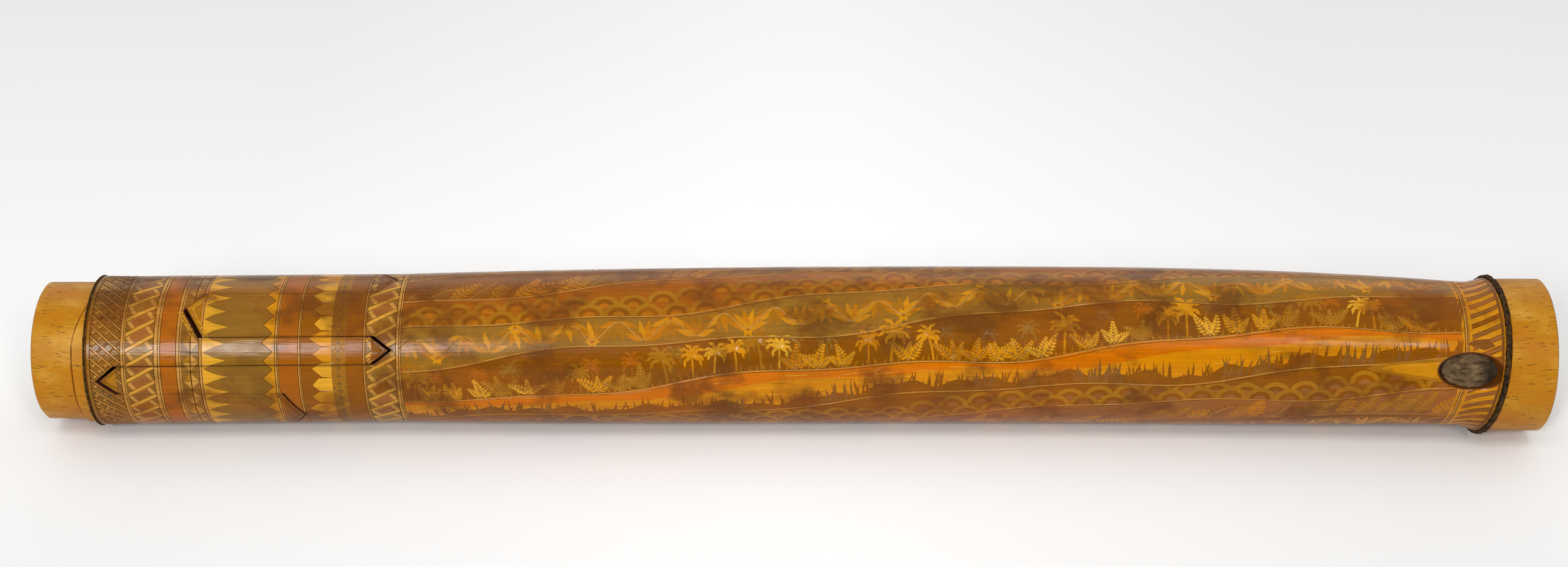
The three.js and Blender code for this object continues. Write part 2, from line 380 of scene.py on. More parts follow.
@dataclass(frozen=True)
class Seam:
    """The interlocking seam between the lid and the body, in millimetres and degrees."""

    lid_node: float
    lid_reach: float = 94.3
    body_reach: float = 4.0
    first_top: float = 113.0
    lid_tongues: tuple[Point, ...] = ((34, 0), (21.6, 0), (50.7, 0.31), (38, 0.08), (38, 0.21))
    body_tongues: tuple[Point, ...] = ((38.3, 0.29), (23.4, 0), (38, 0.27), (39, 0.09), (39, 0.18))
    tip_length: float = 5.7
    tip_inset: float = 1.4
    side_gap: float = 0.1
    open_gap: float = 0.24
    open_sides: tuple[int, ...] = (2, 3)
    raised: tuple[int, float] = (1, 4.3)
    arm_gaps: tuple[Point, ...] = (
        (0.9, 0.25), (0.3, 1.6), (1.5, 1.4), (1.4, 1.8), (0.7, 0.4),
        (0.7, 0.8), (0.8, 0.7), (0.8, 0.8), (0.7, 0.7), (0.8, 0.6),
    )
    border: int = 3

    def tongues(self) -> list[Tongue]:
        """Every tongue, downwards from the lid tongue on top."""
        made = []
        top = self.first_top
        interlock = self.lid_reach - self.body_reach
        turn = sum(width for width, _ in self.lid_tongues + self.body_tongues)
        for lid, body in zip(self.lid_tongues, self.body_tongues):
            for half, (width, short) in ((Half.LID, lid), (Half.BODY, body)):
                reach = self.lid_reach if half is Half.LID else self.body_reach
                tip = self.lid_node + reach + half.value * short * interlock
                bottom = top - 360 * width / turn
                raised = self.raised[1] if len(made) == self.raised[0] else 0.0
                made.append(Tongue(half, top, bottom, tip, raised))
                top = bottom
        return made

    @property
    def low(self) -> float:
        """Where the flat sheet starts: the middle of a body tongue at the back."""
        tongue = self.tongues()[2 * self.border + 1]
        return arc(tongue.middle)

    def edge(self, half: Half, inset: float = 0.0) -> list[Point]:
        """The edge of one half, round the whole turn from the sheet's low border.

        Args:
            half: The half whose edge it is.
            inset: How far the line keeps back from the half's true edge.

        Returns:
            The corners of the edge.
        """
        order = self.tongues()
        wide = [self.open_gap if n in self.open_sides else self.side_gap for n in range(len(order))]
        aside = {tongue: [-half.value * (wide[(n + k) % len(order)] / 2 + inset) for k in (1, 0)]
                 for n, tongue in enumerate(order)}
        gaps = dict(zip(order, self.arm_gaps))
        start = 2 * self.border + 1
        rising = order[start::-1] + order[:start - 1:-1]
        corners = []
        for number, tongue in enumerate(rising):
            turned = TURN if tongue.top < arc_degrees(self.low) or number > start else 0.0
            under, over = (a if tongue.half is Half.BODY else -a for a in aside[tongue])
            above, below = gaps[tongue]
            back = tongue.tip + tongue.half.value * self.tip_length
            forth = [half.value * (gap / 2 + self.tip_inset * inset) for gap in (below, above)]
            slope = arc(tongue.top - tongue.bottom) / 2 / self.tip_length
            off = (above - below) / 4 * slope * (-1 if half is tongue.half else 1)
            middle = arc(tongue.middle) + turned
            corners.append((back + forth[0], arc(tongue.bottom) - under + turned))
            corners.append((tongue.tip + sum(forth) / 2, middle + off))
            corners.append((back + forth[1], arc(tongue.top) + over + turned))
        return corners[1:-1]


def arc_degrees(s: float) -> float:
    """The angle in degrees of a distance round the skin."""
    return math.degrees(s / SKIN_RADIUS)


def divided(start: Point, end: Point) -> list[Point]:
    """Points from start up to end, without it, close enough together to follow the culm."""
    dx, ds = end[0] - start[0], end[1] - start[1]
    steps = max(1, math.ceil(abs(ds) / ROUND_STEP), math.ceil(abs(dx) / LENGTH_STEP))
    return [(start[0] + dx * i / steps, start[1] + ds * i / steps) for i in range(steps)]


def outlined(corners: Sequence[Point]) -> list[Point]:
    """The closed outline through some corners, turning left, with its long sides divided."""
    ring = list(corners)
    sides = list(zip(ring, ring[1:] + ring[:1]))
    if sum(a[0] * b[1] - b[0] * a[1] for a, b in sides) < 0:
        sides = [(b, a) for a, b in reversed(sides)]
    return [p for a, b in sides for p in divided(a, b)]


@dataclass
class Sheet:
    """The flat drawing cut into triangles."""

    spots: np.ndarray
    depth: np.ndarray
    triangles: dict[Half, list[tuple[int, int, int]]]
    tones: dict[Half, list[Tone]]
    shades: dict[Half, list[float]]


class Look(NamedTuple):
    """What is seen at one place of the drawing."""

    half: Half
    tone: Tone
    depth: float
    shade: float


def sides_of(face: Sequence[int]) -> list[Edge]:
    """The directed edges of a triangle."""
    return [(face[0], face[1]), (face[1], face[2]), (face[2], face[0])]


@dataclass
class Engraving:
    """A flat drawing of stained fills and cut lines, painted one over the other."""

    low: float
    points: list[Point] = field(default_factory=list)
    outlines: list[list[int]] = field(default_factory=list)
    tones: list[Tone | None] = field(default_factory=list)
    depths: list[float] = field(default_factory=list)
    shades: list[float] = field(default_factory=list)
    worn: random.Random = field(default_factory=lambda: random.Random(3))
    middles: list[Edge] = field(default_factory=list)
    wear: Point = (0.93, 1.07)

    @property
    def high(self) -> float:
        """The sheet's upper border, which meets the lower one at the back."""
        return self.low + TURN

    def _keep(self, points: Sequence[Point]) -> list[int]:
        """Adds points and returns their numbers."""
        first = len(self.points)
        self.points.extend(points)
        return list(range(first, len(self.points)))

    def _shifts(self, corners: Sequence[Point]) -> list[float]:
        """How a shape is repeated where it crosses the sheet's borders."""
        lowest = min(s for _, s in corners)
        highest = max(s for _, s in corners)
        shifts = [0.0]
        if lowest < self.low:
            shifts.append(TURN)
        if highest > self.high:
            shifts.append(-TURN)
        return shifts

    def _paint(self, outline: Sequence[Point], tone: Tone | None, depth: float, shade: float) -> None:
        """Lays one outline over the others."""
        self.outlines.append(self._keep(outlined(outline)))
        self.tones.append(tone)
        self.depths.append(depth)
        self.shades.append(shade)

    def region(self, outline: Sequence[Point]) -> None:
        """Adds the outline of a half; both come before any stain."""
        self._paint(outline, None, 0.0, 1.0)

    def fill(self, corners: Sequence[Point], tone: Tone, shade: float = 1.0) -> None:
        """Stains the inside of an outline over what is there.

        Args:
            corners: The outline's corners.
            tone: Its stain.
            shade: How light the stain is, beside the small chance that every fill has.
        """
        shade = shade * self.worn.uniform(*self.wear)
        for shift in self._shifts(corners):
            self._paint([(x, s + shift) for x, s in corners], tone, 0.0, shade)

    def line(self, path: Sequence[Point], width: float, tone: Tone, depth: float = CUT_DEPTH) -> None:
        """Cuts a line with a V section along a path.

        Args:
            path: The points that it passes.
            width: Its width at the skin.
            tone: The stain in it.
            depth: Its depth in the middle.
        """
        for (ax, as_), (bx, bs) in zip(path, path[1:]):
            length = math.hypot(bx - ax, bs - as_)
            if length < 1e-6:
                continue
            nx, ns = -(bs - as_) / length * width / 2, (bx - ax) / length * width / 2
            corners = [(ax - nx, as_ - ns), (bx - nx, bs - ns), (bx + nx, bs + ns), (ax + nx, as_ + ns)]
            for shift in self._shifts(corners):
                self._paint([(x, s + shift) for x, s in corners], tone, depth, 1.0)
                middle = divided((ax, as_ + shift), (bx, bs + shift)) + [(bx, bs + shift)]
                numbers = self._keep(middle)
                self.middles.extend(zip(numbers, numbers[1:]))

    def _spilled(self, spots: Sequence[Vector], faces: Sequence, face_of: Sequence) -> set[int]:
        """The outlines that came out open and would stain far more than their own inside."""
        covered = np.zeros(len(self.outlines))
        for face, of in zip(faces, face_of):
            a, b, c = (spots[v] for v in face)
            covered[list(of)] += abs((b - a).cross(c - a)) / 2
        spilled = set()
        for number, outline in enumerate(self.outlines):
            ring = np.array([self.points[n] for n in outline])
            ahead = np.roll(ring, -1, axis=0)
            inside = abs(np.sum(ring[:, 0] * ahead[:, 1] - ahead[:, 0] * ring[:, 1])) / 2
            if covered[number] > 2 * inside + 1:
                spilled.add(number)
        return spilled

    def _looks(self, spots: Sequence[Vector], faces: Sequence, face_of: Sequence) -> list[Look | None]:
        """What is seen on each face of the drawing, or nothing outside both halves."""
        spilled = self._spilled(spots, faces, face_of)
        looks: list[Look | None] = []
        for of in face_of:
            half = next((h for number, h in enumerate(Half) if number in of), None)
            top = max((n for n in of if n not in spilled), default=0)
            tone = self.tones[top] or Tone.GOLD
            looks.append(Look(half, tone, self.depths[top], self.shades[top]) if half else None)
        return looks

    def _seen(self, spots: Sequence[Vector], edges: Sequence, faces: Sequence, edge_of: Sequence,
              looks: Sequence[Look | None]) -> dict[Edge, Look | None]:
        """Keeps the visible borders and the bottoms of cut lines.

        Args:
            spots: The points of the drawing's triangles.
            edges: Their edges.
            faces: Their corners.
            edge_of: The drawn edges that each edge is part of.
            looks: What is seen on each.

        Returns:
            The look on the left of every kept edge, in both of its directions.
        """
        left = {edge: look for face, look in zip(faces, looks) for edge in sides_of(face)}
        drawn = range(len(self.middles))
        bottoms = {frozenset(edge) for edge, of in zip(edges, edge_of) if any(n in drawn for n in of)}
        kept: dict[Edge, Look | None] = {}
        around: dict[int, set[int]] = {}
        for (a, b), look in left.items():
            other = left.get((b, a))
            if look != other or (look and look.depth > 0 and frozenset((a, b)) in bottoms):
                kept[a, b], kept[b, a] = look, other
                around.setdefault(a, set()).add(b)
                around.setdefault(b, set()).add(a)
        self._thin(spots, kept, around)
        return kept

    def _thin(self, spots: Sequence[Vector], kept: dict[Edge, Look | None],
              around: dict[int, set[int]]) -> None:
        """Takes out the points that lie straight between the only two that they are joined to.

        Args:
            spots: The points of the drawing's triangles.
            kept: The look on the left of every kept edge; it loses two edges and gains one each time.
            around: The points that each point is joined to; it is kept in step.
        """
        for spot in list(around):
            if len(around[spot]) != 2:
                continue
            a, b = around[spot]
            beside = (kept[a, spot], kept[spot, a])
            way = spots[b] - spots[a]
            if None in beside or beside[0].half is not beside[1].half or b in around[a]:
                continue
            bent = abs(way.cross(spots[spot] - spots[a])) > STRAIGHT * way.length
            if bent or abs(way.x) > LENGTH_STEP or abs(way.y) > ROUND_STEP:
                continue
            kept[a, b], kept[b, a] = beside
            for edge in ((a, spot), (spot, a), (b, spot), (spot, b)):
                del kept[edge]
            around[a] ^= {spot, b}
            around[b] ^= {spot, a}
            del around[spot]

    def _flooded(self, faces: Sequence, left: dict[Edge, Look | None]) -> dict[int, Look | None]:
        """Spreads each look from the edges that bound it over all the faces between them.

        Args:
            faces: The corners of the triangles.
            left: The look on the left of every edge that bounds one.

        Returns:
            The look of each face, by its number.
        """
        owner = {edge: number for number, face in enumerate(faces) for edge in sides_of(face)}
        looks = {owner[edge]: look for edge, look in left.items() if edge in owner}
        waiting = list(looks)
        while waiting:
            number = waiting.pop()
            for a, b in sides_of(faces[number]):
                other = owner.get((b, a))
                if other is not None and (a, b) not in left and other not in looks:
                    looks[other] = looks[number]
                    waiting.append(other)
        return looks

    def triangulate(self, spare: Sequence[Point]) -> Sheet:
        """Cuts the drawing into triangles, first as painted and then along its visible borders alone.

        Args:
            spare: More points that keep the triangles short.

        Returns:
            The triangles of both halves with their stains.
        """
        drawn, edges, faces, _, edge_of, face_of = delaunay_2d_cdt(
            [Vector(p) for p in self.points], self.middles, self.outlines, 0, MERGE
        )
        kept = self._seen(drawn, edges, faces, edge_of, self._looks(drawn, faces, face_of))
        numbers = {spot: number for number, spot in enumerate(dict.fromkeys(a for a, _ in kept))}
        ways = [(a, b) for a, b in kept if a < b]
        spots, edges, faces, _, edge_of, _ = delaunay_2d_cdt(
            [drawn[n] for n in numbers] + [Vector(p) for p in spare],
            [(numbers[a], numbers[b]) for a, b in ways], [], 0, MERGE,
        )
        left: dict[Edge, Look | None] = {}
        grooves: set[int] = set()
        for (u, w), of in zip(edges, edge_of):
            if of:
                a, b = ways[of[0]]
                if (spots[w] - spots[u]).dot(drawn[b] - drawn[a]) < 0:
                    a, b = b, a
                left[u, w], left[w, u] = kept[a, b], kept[b, a]
                if kept[a, b] == kept[b, a]:
                    grooves.update((u, w))
        looks = self._flooded(faces, left)
        depth = np.zeros(len(spots))
        places = np.array([tuple(v) for v in spots])
        sheet = Sheet(places, depth, *({half: [] for half in Half} for _ in range(3)))
        for number, face in enumerate(faces):
            look = looks.get(number)
            if look is None:
                continue
            sheet.triangles[look.half].append(tuple(face))
            sheet.tones[look.half].append(look.tone)
            sheet.shades[look.half].append(look.shade)
            if look.depth > 0:
                for vertex in grooves.intersection(face):
                    depth[vertex] = max(depth[vertex], look.depth)
        return sheet


@dataclass
class Borders:
    """The traditional ornament bands of the closure and the foot; places are from the nodes."""

    art: Engraving
    form: CulmForm
    draw: random.Random

    def band(self, start: float, end: float, tone: Tone) -> None:
        """Stains a plain band round the culm from one station to another."""
        low, high = self.art.low, self.art.high
        self.art.fill([(start, low), (end, low), (end, high), (start, high)], tone)

    def ring(self, x: float, width: float, tone: Tone, depth: float = CUT_DEPTH) -> None:
        """Cuts one line round the culm at a station."""
        self.art.line([(x, self.art.low), (x, self.art.high)], width, tone, depth)

    def rule(self, x: float, width: float = 1.5) -> None:
        """A border rule: a pale strip between two dark lines, with a third down its middle."""
        self.band(x - width / 2, x + width / 2, Tone.TAN)
        for offset in (-0.5, 0.12, 0.5):
            self.ring(x + offset * width, 0.2, Tone.LINE)

    def cells(self, count: int, offset: float = 0.0) -> list[tuple[float, float]]:
        """The lower ends and the pitch of cells that share out the turn."""
        pitch = TURN / count
        return [(self.art.low + (i + offset) * pitch, pitch) for i in range(count)]

    def lattice(self, start: float, end: float, count: int) -> None:
        """Pale strips between dark lines that fall to the foot, over fainter ones that climb, with dabs."""
        self.band(start, end, Tone.MOSS)
        wide = end - start
        slope = 0.92
        climbing = ((0.0, 0.36, Tone.TAN), (0.36, 0.24, Tone.LINE), (-0.34, 0.2, Tone.LINE))
        falling = ((0.0, 0.46, Tone.TAN), (-0.13, 0.22, Tone.LINE), (0.13, 0.22, Tone.LINE))
        for s, _ in self.cells(count):
            for offset, width, tone in climbing:
                self.art.line([(start, s + offset), (end, s + offset + slope * wide)], width, tone)
        for s, pitch in self.cells(count):
            # The dabs are drawn marks, but their being pale and wider more often towards the lid node is a
            # painted highlight.
            for k in range(3):
                x = start + wide * (0.05 + 0.21 * k) + self.draw.uniform(0, 0.5)
                foot = s + 0.42 * pitch - slope * (x - start)
                dab = min(0.26 * pitch, end - x)
                tone = Tone.TAN if self.draw.random() < 0.9 - 0.25 * k else Tone.SLATE
                self.art.line([(x, foot), (x + dab, foot + dab)], 0.8 - 0.1 * k, tone)
            for share, width, tone in falling:
                low = s + share * pitch
                self.art.line([(start, low), (end, low - slope * wide)], width, tone)

    def ladder(self, start: float, end: float, count: int) -> None:
        """Golden bars that climb to the foot, with slanting golden-ended panes between them."""
        self.band(start, end, Tone.MOSS)
        wide = end - start
        climb = 0.96
        shapes = (
            ((0, 0), (1, 0), (1, 0.28), (0, 0.28)),
            ((0.2, 0.3), (0.99, 0.3), (0.8, 0.96), (0.01, 0.96)),
            ((0.31, 0.33), (0.87, 0.33), (0.69, 0.93), (0.13, 0.93)),
            ((0, 0), (1, 0)),
            ((0, 0.29), (1, 0.29)),
        )
        for s, pitch in self.cells(count):
            bar, rim, pane, *sides = (
                [(start + u * wide, s + (climb * u + v) * pitch) for u, v in shape] for shape in shapes
            )
            self.art.fill(bar, Tone.FLAX)
            self.art.fill(rim, Tone.TAN)
            self.art.fill(pane, self.draw.choice((Tone.MAUVE, Tone.BROWN, Tone.HAZEL, Tone.OLIVE)))
            for side in sides:
                self.art.line(side, 0.18, Tone.LINE)

    def rungs(self, start: float, end: float, count: int) -> None:
        """Thick golden bars that climb to the foot, with plain brown panes between them."""
        self.band(start, end, Tone.GOLD)
        wide = end - start
        for s, pitch in self.cells(count):
            left, right = start + 0.1 * wide, end - 0.08 * wide
            low, high = 0.5 * pitch, self.draw.uniform(0.9, 1.0) * pitch
            climb = 0.5 * (right - left)
            pane = [(left, s + low), (right, s + low + climb), (right, s + high + climb), (left, s + high)]
            self.art.fill(pane, self.draw.choice((Tone.MAUVE, Tone.BROWN, Tone.HAZEL)))
            self.art.line([pane[0], pane[1]], 0.16, Tone.LINE)
            self.art.line([pane[3], pane[2]], 0.16, Tone.LINE)

    def stars(self, start: float, end: float, count: int) -> None:
        """Pale quartered diamonds tip to tip, with crossed lines and a line down the middle."""
        self.band(start, end, Tone.MOSS)
        middle = (start + end) / 2
        for s, pitch in self.cells(count):
            level = s + pitch / 2
            sides = [
                (start + 0.35, level), (middle, s + 0.06 * pitch),
                (end - 0.35, level), (middle, s + 0.94 * pitch),
            ]
            self.art.fill(sides, Tone.TAN)
            self.art.fill([sides[0], (middle, level), sides[3]], Tone.OCHRE)
            self.art.line([(start, level), (end, level)], 0.16, Tone.UMBER)
            self.art.line([(start, s), (end, s)], 0.16, Tone.UMBER)
        self.ring(middle, 0.28, Tone.SOOT)

    def teeth(self, base: float, tip: float, count: int, tone: Tone, hollow: float,
              outline: bool = False) -> None:
        """A row of teeth that stand on one station and point at another.

        Args:
            base: The station that they stand on.
            tip: The station that they point at.
            count: How many share out the turn.
            tone: Their stain.
            hollow: How far their sides are drawn in, as a share of the pitch.
            outline: Whether a dark line follows their sides.
        """
        for s, pitch in self.cells(count):
            reach = tip + (base - tip) * self.draw.uniform(0.0, 0.16)
            waist, edge = base + 0.42 * (reach - base), (0.21 + hollow) * pitch
            corners = [
                (base, s), (waist, s + edge), (reach, s + pitch / 2),
                (waist, s + pitch - edge), (base, s + pitch),
            ]
            self.art.fill(corners, tone)
            if outline:
                self.art.line(corners, 0.2, Tone.UMBER)

    def flames(self, base: float, tip: float, count: int) -> None:
        """Golden flames of uneven length, grown together at their feet, that point at the lid."""
        for s, pitch in self.cells(count, 0.3):
            reach = tip + (base - tip) * self.draw.uniform(0.0, 0.4)
            waist = base + (reach - base) * self.draw.uniform(0.5, 0.68)
            aside = self.draw.uniform(0.4, 0.6)
            side = [(base, s), (waist, s + 0.06 * pitch), (reach, s + aside * pitch)]
            tone = self.draw.choice((Tone.STRAW, Tone.GOLD, Tone.STRAW))
            self.art.fill(side + [(waist, s + 0.94 * pitch), (base, s + pitch)], tone)
            self.art.line([(base, s), (waist, s + 0.03 * pitch)], 0.18, Tone.BROWN, 0.06)

    def beads(self, start: float, end: float, count: int) -> None:
        """A narrow grey band with zigzags at both rims and a bead in each cell."""
        self.band(start, end, Tone.OLIVE)
        wide = end - start
        for s, pitch in self.cells(count):
            for rim, inner in ((start + 0.3, start + 0.36 * wide), (end - 0.3, end - 0.36 * wide)):
                self.art.line([(rim, s), (inner, s + pitch / 2), (rim, s + pitch)], 0.24, Tone.GOLD)
            x, size = (start + end) / 2, 0.2 * pitch
            self.art.fill([(x - size, s), (x, s - size), (x + size, s), (x, s + size)], Tone.UMBER)

    def closure(self) -> None:
        """Draws every band of the closure, from the lid node towards the body."""
        at = self.form.lid_node + 0.7
        self.band(at - 0.7, at + 1.4, Tone.OLIVE)
        self.ring(at + 0.1, 0.4, Tone.LINE)
        self.ring(at + 1.3, 0.3, Tone.LINE)
        self.lattice(at + 1.4, at + 10.7, 43)
        self.rule(at + 11.4)
        self.ladder(at + 12.2, at + 20.8, 30)
        self.rule(at + 21.9, 2.0)
        self.band(at + 23, at + 28, Tone.RUST)
        self.rule(at + 28.6, 1.6)
        self.stars(at + 29.4, at + 35, 24)
        self.rule(at + 35.5, 1.2)
        self.band(at + 36, at + 57.4, Tone.OLIVE)
        self.teeth(at + 36, at + 43.5, 28, Tone.STRAW, 0.07)
        self.band(at + 57.2, at + 58.2, Tone.GOLD)
        self.teeth(at + 57.4, at + 54.0, 26, Tone.GOLD, 0.0, outline=True)
        self.rule(at + 58.7, 1.1)
        self.band(at + 59.3, at + 65.3, Tone.RUST)
        self.rule(at + 65.7, 0.9)
        self.band(at + 66.2, at + 75.6, Tone.BROWN)
        self.flames(at + 75.6, at + 67.2, 30)
        self.beads(at + 75.6, at + 80, 56)
        self.band(at + 80, at + 85.4, Tone.BROWN)
        self.rule(at + 85.8, 0.9)
        self.ladder(at + 86.3, at + 95.3, 29)
        self.rule(at + 96.2, 1.6)

    def foot(self) -> None:
        """Draws the rule and the ladder of the foot, and painted shade beside its collar."""
        at = self.form.foot_node
        self.rule(at - 11.8, 1.1)
        self.rungs(at - 11.2, at - 1.2, 42)
        # A dark line cut beside the collar: painted shade on the skin next to it.
        self.ring(at - self.form.foot_channel - 0.6, 0.8, Tone.UMBER, 0.1)

    def branch_field(self) -> None:
        """Leaves plain skin in front of the branch scar, and paints shade into the hollow round it."""
        x, s = self.form.branch
        a, b = self.form.branch_half_length, self.form.branch_half_width
        limit = self.form.foot_node - self.form.foot_channel - 0.15
        shares = [k / 14 for k in range(15)]
        for reach, wide, tone in ((3.4, 0.8, Tone.OCHRE), (2.9, 0.62, Tone.GOLD)):
            side = [(x - reach * a * (1 - u), wide * b * u ** 0.6) for u in shares]
            self.art.fill([(p, s - w) for p, w in side] + [(p, s + w) for p, w in side[:0:-1]], tone)
        # Dark rings round the scar: painted shade in the hollow that it sits in.
        ring = [2 * math.pi * k / 36 for k in range(36)]
        for grow, tone in ((1.1, Tone.UMBER), (1.06, Tone.SOOT)):
            rim = [(min(x + grow * a * math.cos(r), limit), s + grow * b * math.sin(r)) for r in ring]
            self.art.fill(rim, tone)
        smear = [(x - 0.2 * a, s + 1.5 * b), (x + 0.35 * a, s + 1.2 * b), (x + 0.7 * a, s + 1.45 * b)]
        self.art.fill(smear + [(x + 0.5 * a, s + 1.85 * b), (x, s + 1.75 * b)], Tone.UMBER)

    def tips(self, seam: Seam) -> None:
        """Gives each tongue a plain arrow field with thin lines along its point; one has golden lines."""
        for number, tongue in enumerate(seam.tongues()):
            inward = tongue.half.value
            low, high = arc(tongue.bottom), arc(tongue.top)
            middle = arc(tongue.middle)
            shoulder = tongue.tip + inward * seam.tip_length
            tone = (Tone.BROWN, Tone.OCHRE)[number % 2]
            self.art.fill([(shoulder, low), (tongue.tip, middle), (shoulder, high)], tone)
            golden = number == 1
            for back in (-2.4, -1.5, 1.5, 2.4) if golden else (1.4, 2.2):
                point, foot = tongue.tip + inward * back, shoulder + inward * back
                path = [(foot, low), (point, middle), (foot, high)]
                if golden:
                    eased = (point + 0.12 * (foot - point), middle + 0.12 * (low - middle))
                    path = [(foot, low), eased] if back < 0 else path
                self.art.line(path, 0.32 if golden else 0.2, Tone.STRAW if golden else Tone.LINE)


class Motif(Enum):
    """What grows on one stretch between two banks of the landscape."""

    PALMS = 1
    VINE = 2
    HILLS = 3
    FERNS = 4
    RIVER = 5


@dataclass
class Riverside:
    """A generic engraved landscape: wavy stretches of palms, ferns, vines and hills by a golden river."""

    art: Engraving
    start: float
    end: float
    draw: random.Random
    climb: float = 0.085
    rows: tuple[tuple[float, Tone, Motif], ...] = (
        (-58.0, Tone.OLIVE, Motif.HILLS), (-46.0, Tone.RUST, Motif.PALMS), (-34.5, Tone.BROWN, Motif.VINE),
        (-23.5, Tone.MAUVE, Motif.FERNS), (-12.5, Tone.BROWN, Motif.HILLS), (-3.5, Tone.SKY, Motif.RIVER),
        (8.0, Tone.BROWN, Motif.PALMS), (20.5, Tone.OLIVE, Motif.VINE), (31.5, Tone.RUST, Motif.HILLS),
        (42.5, Tone.BROWN, Motif.FERNS), (53.5, Tone.HAZEL, Motif.PALMS), (65.5, Tone.RUST, Motif.VINE),
        (77.5, Tone.BROWN, Motif.FERNS),
    )
    front: Point = (-10.0, 30.0)
    short_leaf: float = 3.2
    hill: float = 9.0

    def bank(self, x: float, level: float) -> float:
        """The wavy line of a bank at a station; all of them wind slowly up round the culm."""
        turn = 2 * math.pi * level / TURN
        wound = level + self.climb * (x - (self.start + self.end) / 2)
        return wound + 1.5 * math.sin(x / 23 + 5 * turn) + 0.8 * math.sin(x / 9.7 + 11 * turn)

    def stations(self, step: float) -> list[float]:
        """Places along the culm, about a step apart."""
        count = round((self.end - self.start) / step)
        return [self.start + (self.end - self.start) * k / count for k in range(count + 1)]

    def shore(self, level: float) -> list[Point]:
        """The points of a bank."""
        return [(x, self.bank(x, level)) for x in self.stations(5.0)]

    def leaf(self, root: Point, turn: float, length: float, width: float, tone: Tone) -> None:
        """A lance-shaped leaf from its root along a direction."""
        ahead, aside = math.cos(turn), math.sin(turn)
        outline = ((0, 0), (0.3, -0.45), (0.62, -0.38), (1, 0), (0.62, 0.38), (0.3, 0.45))
        if length < self.short_leaf:
            outline = ((0, 0), (0.42, -0.48), (1, 0), (0.42, 0.48))
        self.art.fill([(root[0] + u * length * ahead - v * width * aside,
                        root[1] + u * length * aside + v * width * ahead) for u, v in outline], tone)

    def blossom(self, middle: Point, size: float) -> None:
        """A flower of six petals."""
        for k in range(6):
            self.leaf(middle, math.pi * k / 3, size, 0.7 * size, Tone.GOLD)
        self.leaf((middle[0] - 0.3 * size, middle[1]), 0, 0.6 * size, 0.6 * size, Tone.RUST)

    def fern(self, root: Point, turn: float, length: float, tone: Tone) -> None:
        """A frond that bends over, with leaflets that shorten towards its tip."""
        path, bend = [root], self.draw.uniform(-0.8, 0.8)
        step = length / 7
        for k in range(7):
            way = turn + bend * k / 7
            x, s = path[-1]
            path.append((x + step * math.cos(way), s + step * math.sin(way)))
            reach = 0.4 * length * (1 - k / 8) * min(1.0, 0.6 + 0.3 * k)
            for side in (-1, 1):
                self.leaf(path[-1], way + 1.05 * side, reach, 0.14 * length, tone)
        self.art.line(path, 0.22, Tone.TAN, 0.08)

    def palm(self, x: float, s: float, tall: float, tone: Tone) -> None:
        """A palm with a leaning trunk and a crown of drooping fronds."""
        lean = self.draw.uniform(-0.2, 0.2) * tall
        crown = (x + lean, s + 0.7 * tall)
        self.art.line([(x, s), (x + 0.35 * lean, s + 0.36 * tall), crown], 0.06 * tall, tone)
        for k in range(8):
            turn = math.radians(-30 + 240 * k / 7 + self.draw.uniform(-8, 8))
            reach = 0.36 * tall * self.draw.uniform(0.85, 1.1)
            self.leaf(crown, turn, reach, 0.13 * tall, tone)
            knee = (crown[0] + 0.7 * reach * math.cos(turn), crown[1] + 0.7 * reach * math.sin(turn))
            self.leaf(knee, turn - math.copysign(0.8, math.cos(turn)), 0.6 * reach, 0.1 * tall, tone)

    def tufts(self, level: float, tone: Tone, tall: float) -> None:
        """Grass along a bank."""
        for x in self.stations(2.3):
            turn = math.pi / 2 + self.draw.uniform(-0.5, 0.5)
            self.leaf((x, self.bank(x, level) - 0.2), turn, tall * self.draw.uniform(0.5, 1.1), 0.6, tone)

    def palms(self, low: float, high: float) -> None:
        """Palms and fern clumps in turn, on a grassy bank."""
        tall = high - low
        near = self.front[0] < low < self.front[1]
        apart = 1.0 if near else 1.55
        for x in self.stations(12.0) if near else []:
            foot = self.bank(x, low) + 0.25 * tall
            size = tall * self.draw.uniform(0.6, 0.75)
            self.palm(x, foot, size, self.draw.choice((Tone.RUST, Tone.OLIVE, Tone.HAZEL)))
        x = self.start + self.draw.uniform(2, 5)
        while x < self.end - 5:
            foot = self.bank(x, low) + 0.4
            tone = self.draw.choice((Tone.GOLD, Tone.HONEY, Tone.OCHRE, Tone.STRAW))
            if self.draw.random() < 0.45:
                self.palm(x, foot, tall * self.draw.uniform(0.75, 1.0), tone)
                x += self.draw.uniform(0.4, 0.65) * tall * apart
            else:
                for turn in (2.3, 1.6, 0.9) if near else (2.0, 1.1):
                    self.fern((x, foot), turn, tall * self.draw.uniform(0.4, 0.62), tone)
                x += self.draw.uniform(0.5, 0.7) * tall * apart
        self.tufts(low, Tone.OCHRE, 0.22 * tall)

    def vine(self, low: float, high: float) -> None:
        """A running vine with fans of leaves in its bends and flowers between them."""
        tall, wave = high - low, 1.45 * (high - low)

        def stem(x: float) -> Point:
            """The vine's place at a station."""
            middle = (self.bank(x, low) + self.bank(x, high)) / 2
            return x, middle + 0.27 * tall * math.sin(2 * math.pi * (x - self.start) / wave)

        bends = int(2 * (self.end - self.start) / wave)
        for k in range(bends):
            x = self.start + (k + 0.5) * wave / 2
            side = -1 if k % 2 == 0 else 1
            for fan in (-1.25, -0.75, -0.25, 0.25, 0.75, 1.25):
                tone = self.draw.choice((Tone.GOLD, Tone.HONEY, Tone.OCHRE))
                self.leaf(stem(x), side * math.pi / 2 + fan, 0.6 * tall, 0.19 * tall, tone)
            if k % 3 == 1:
                self.blossom((x, stem(x)[1] - side * 0.02 * tall), 0.22 * tall)
        self.art.line([stem(x) for x in self.stations(1.7)], 0.42, Tone.TAN, 0.1)

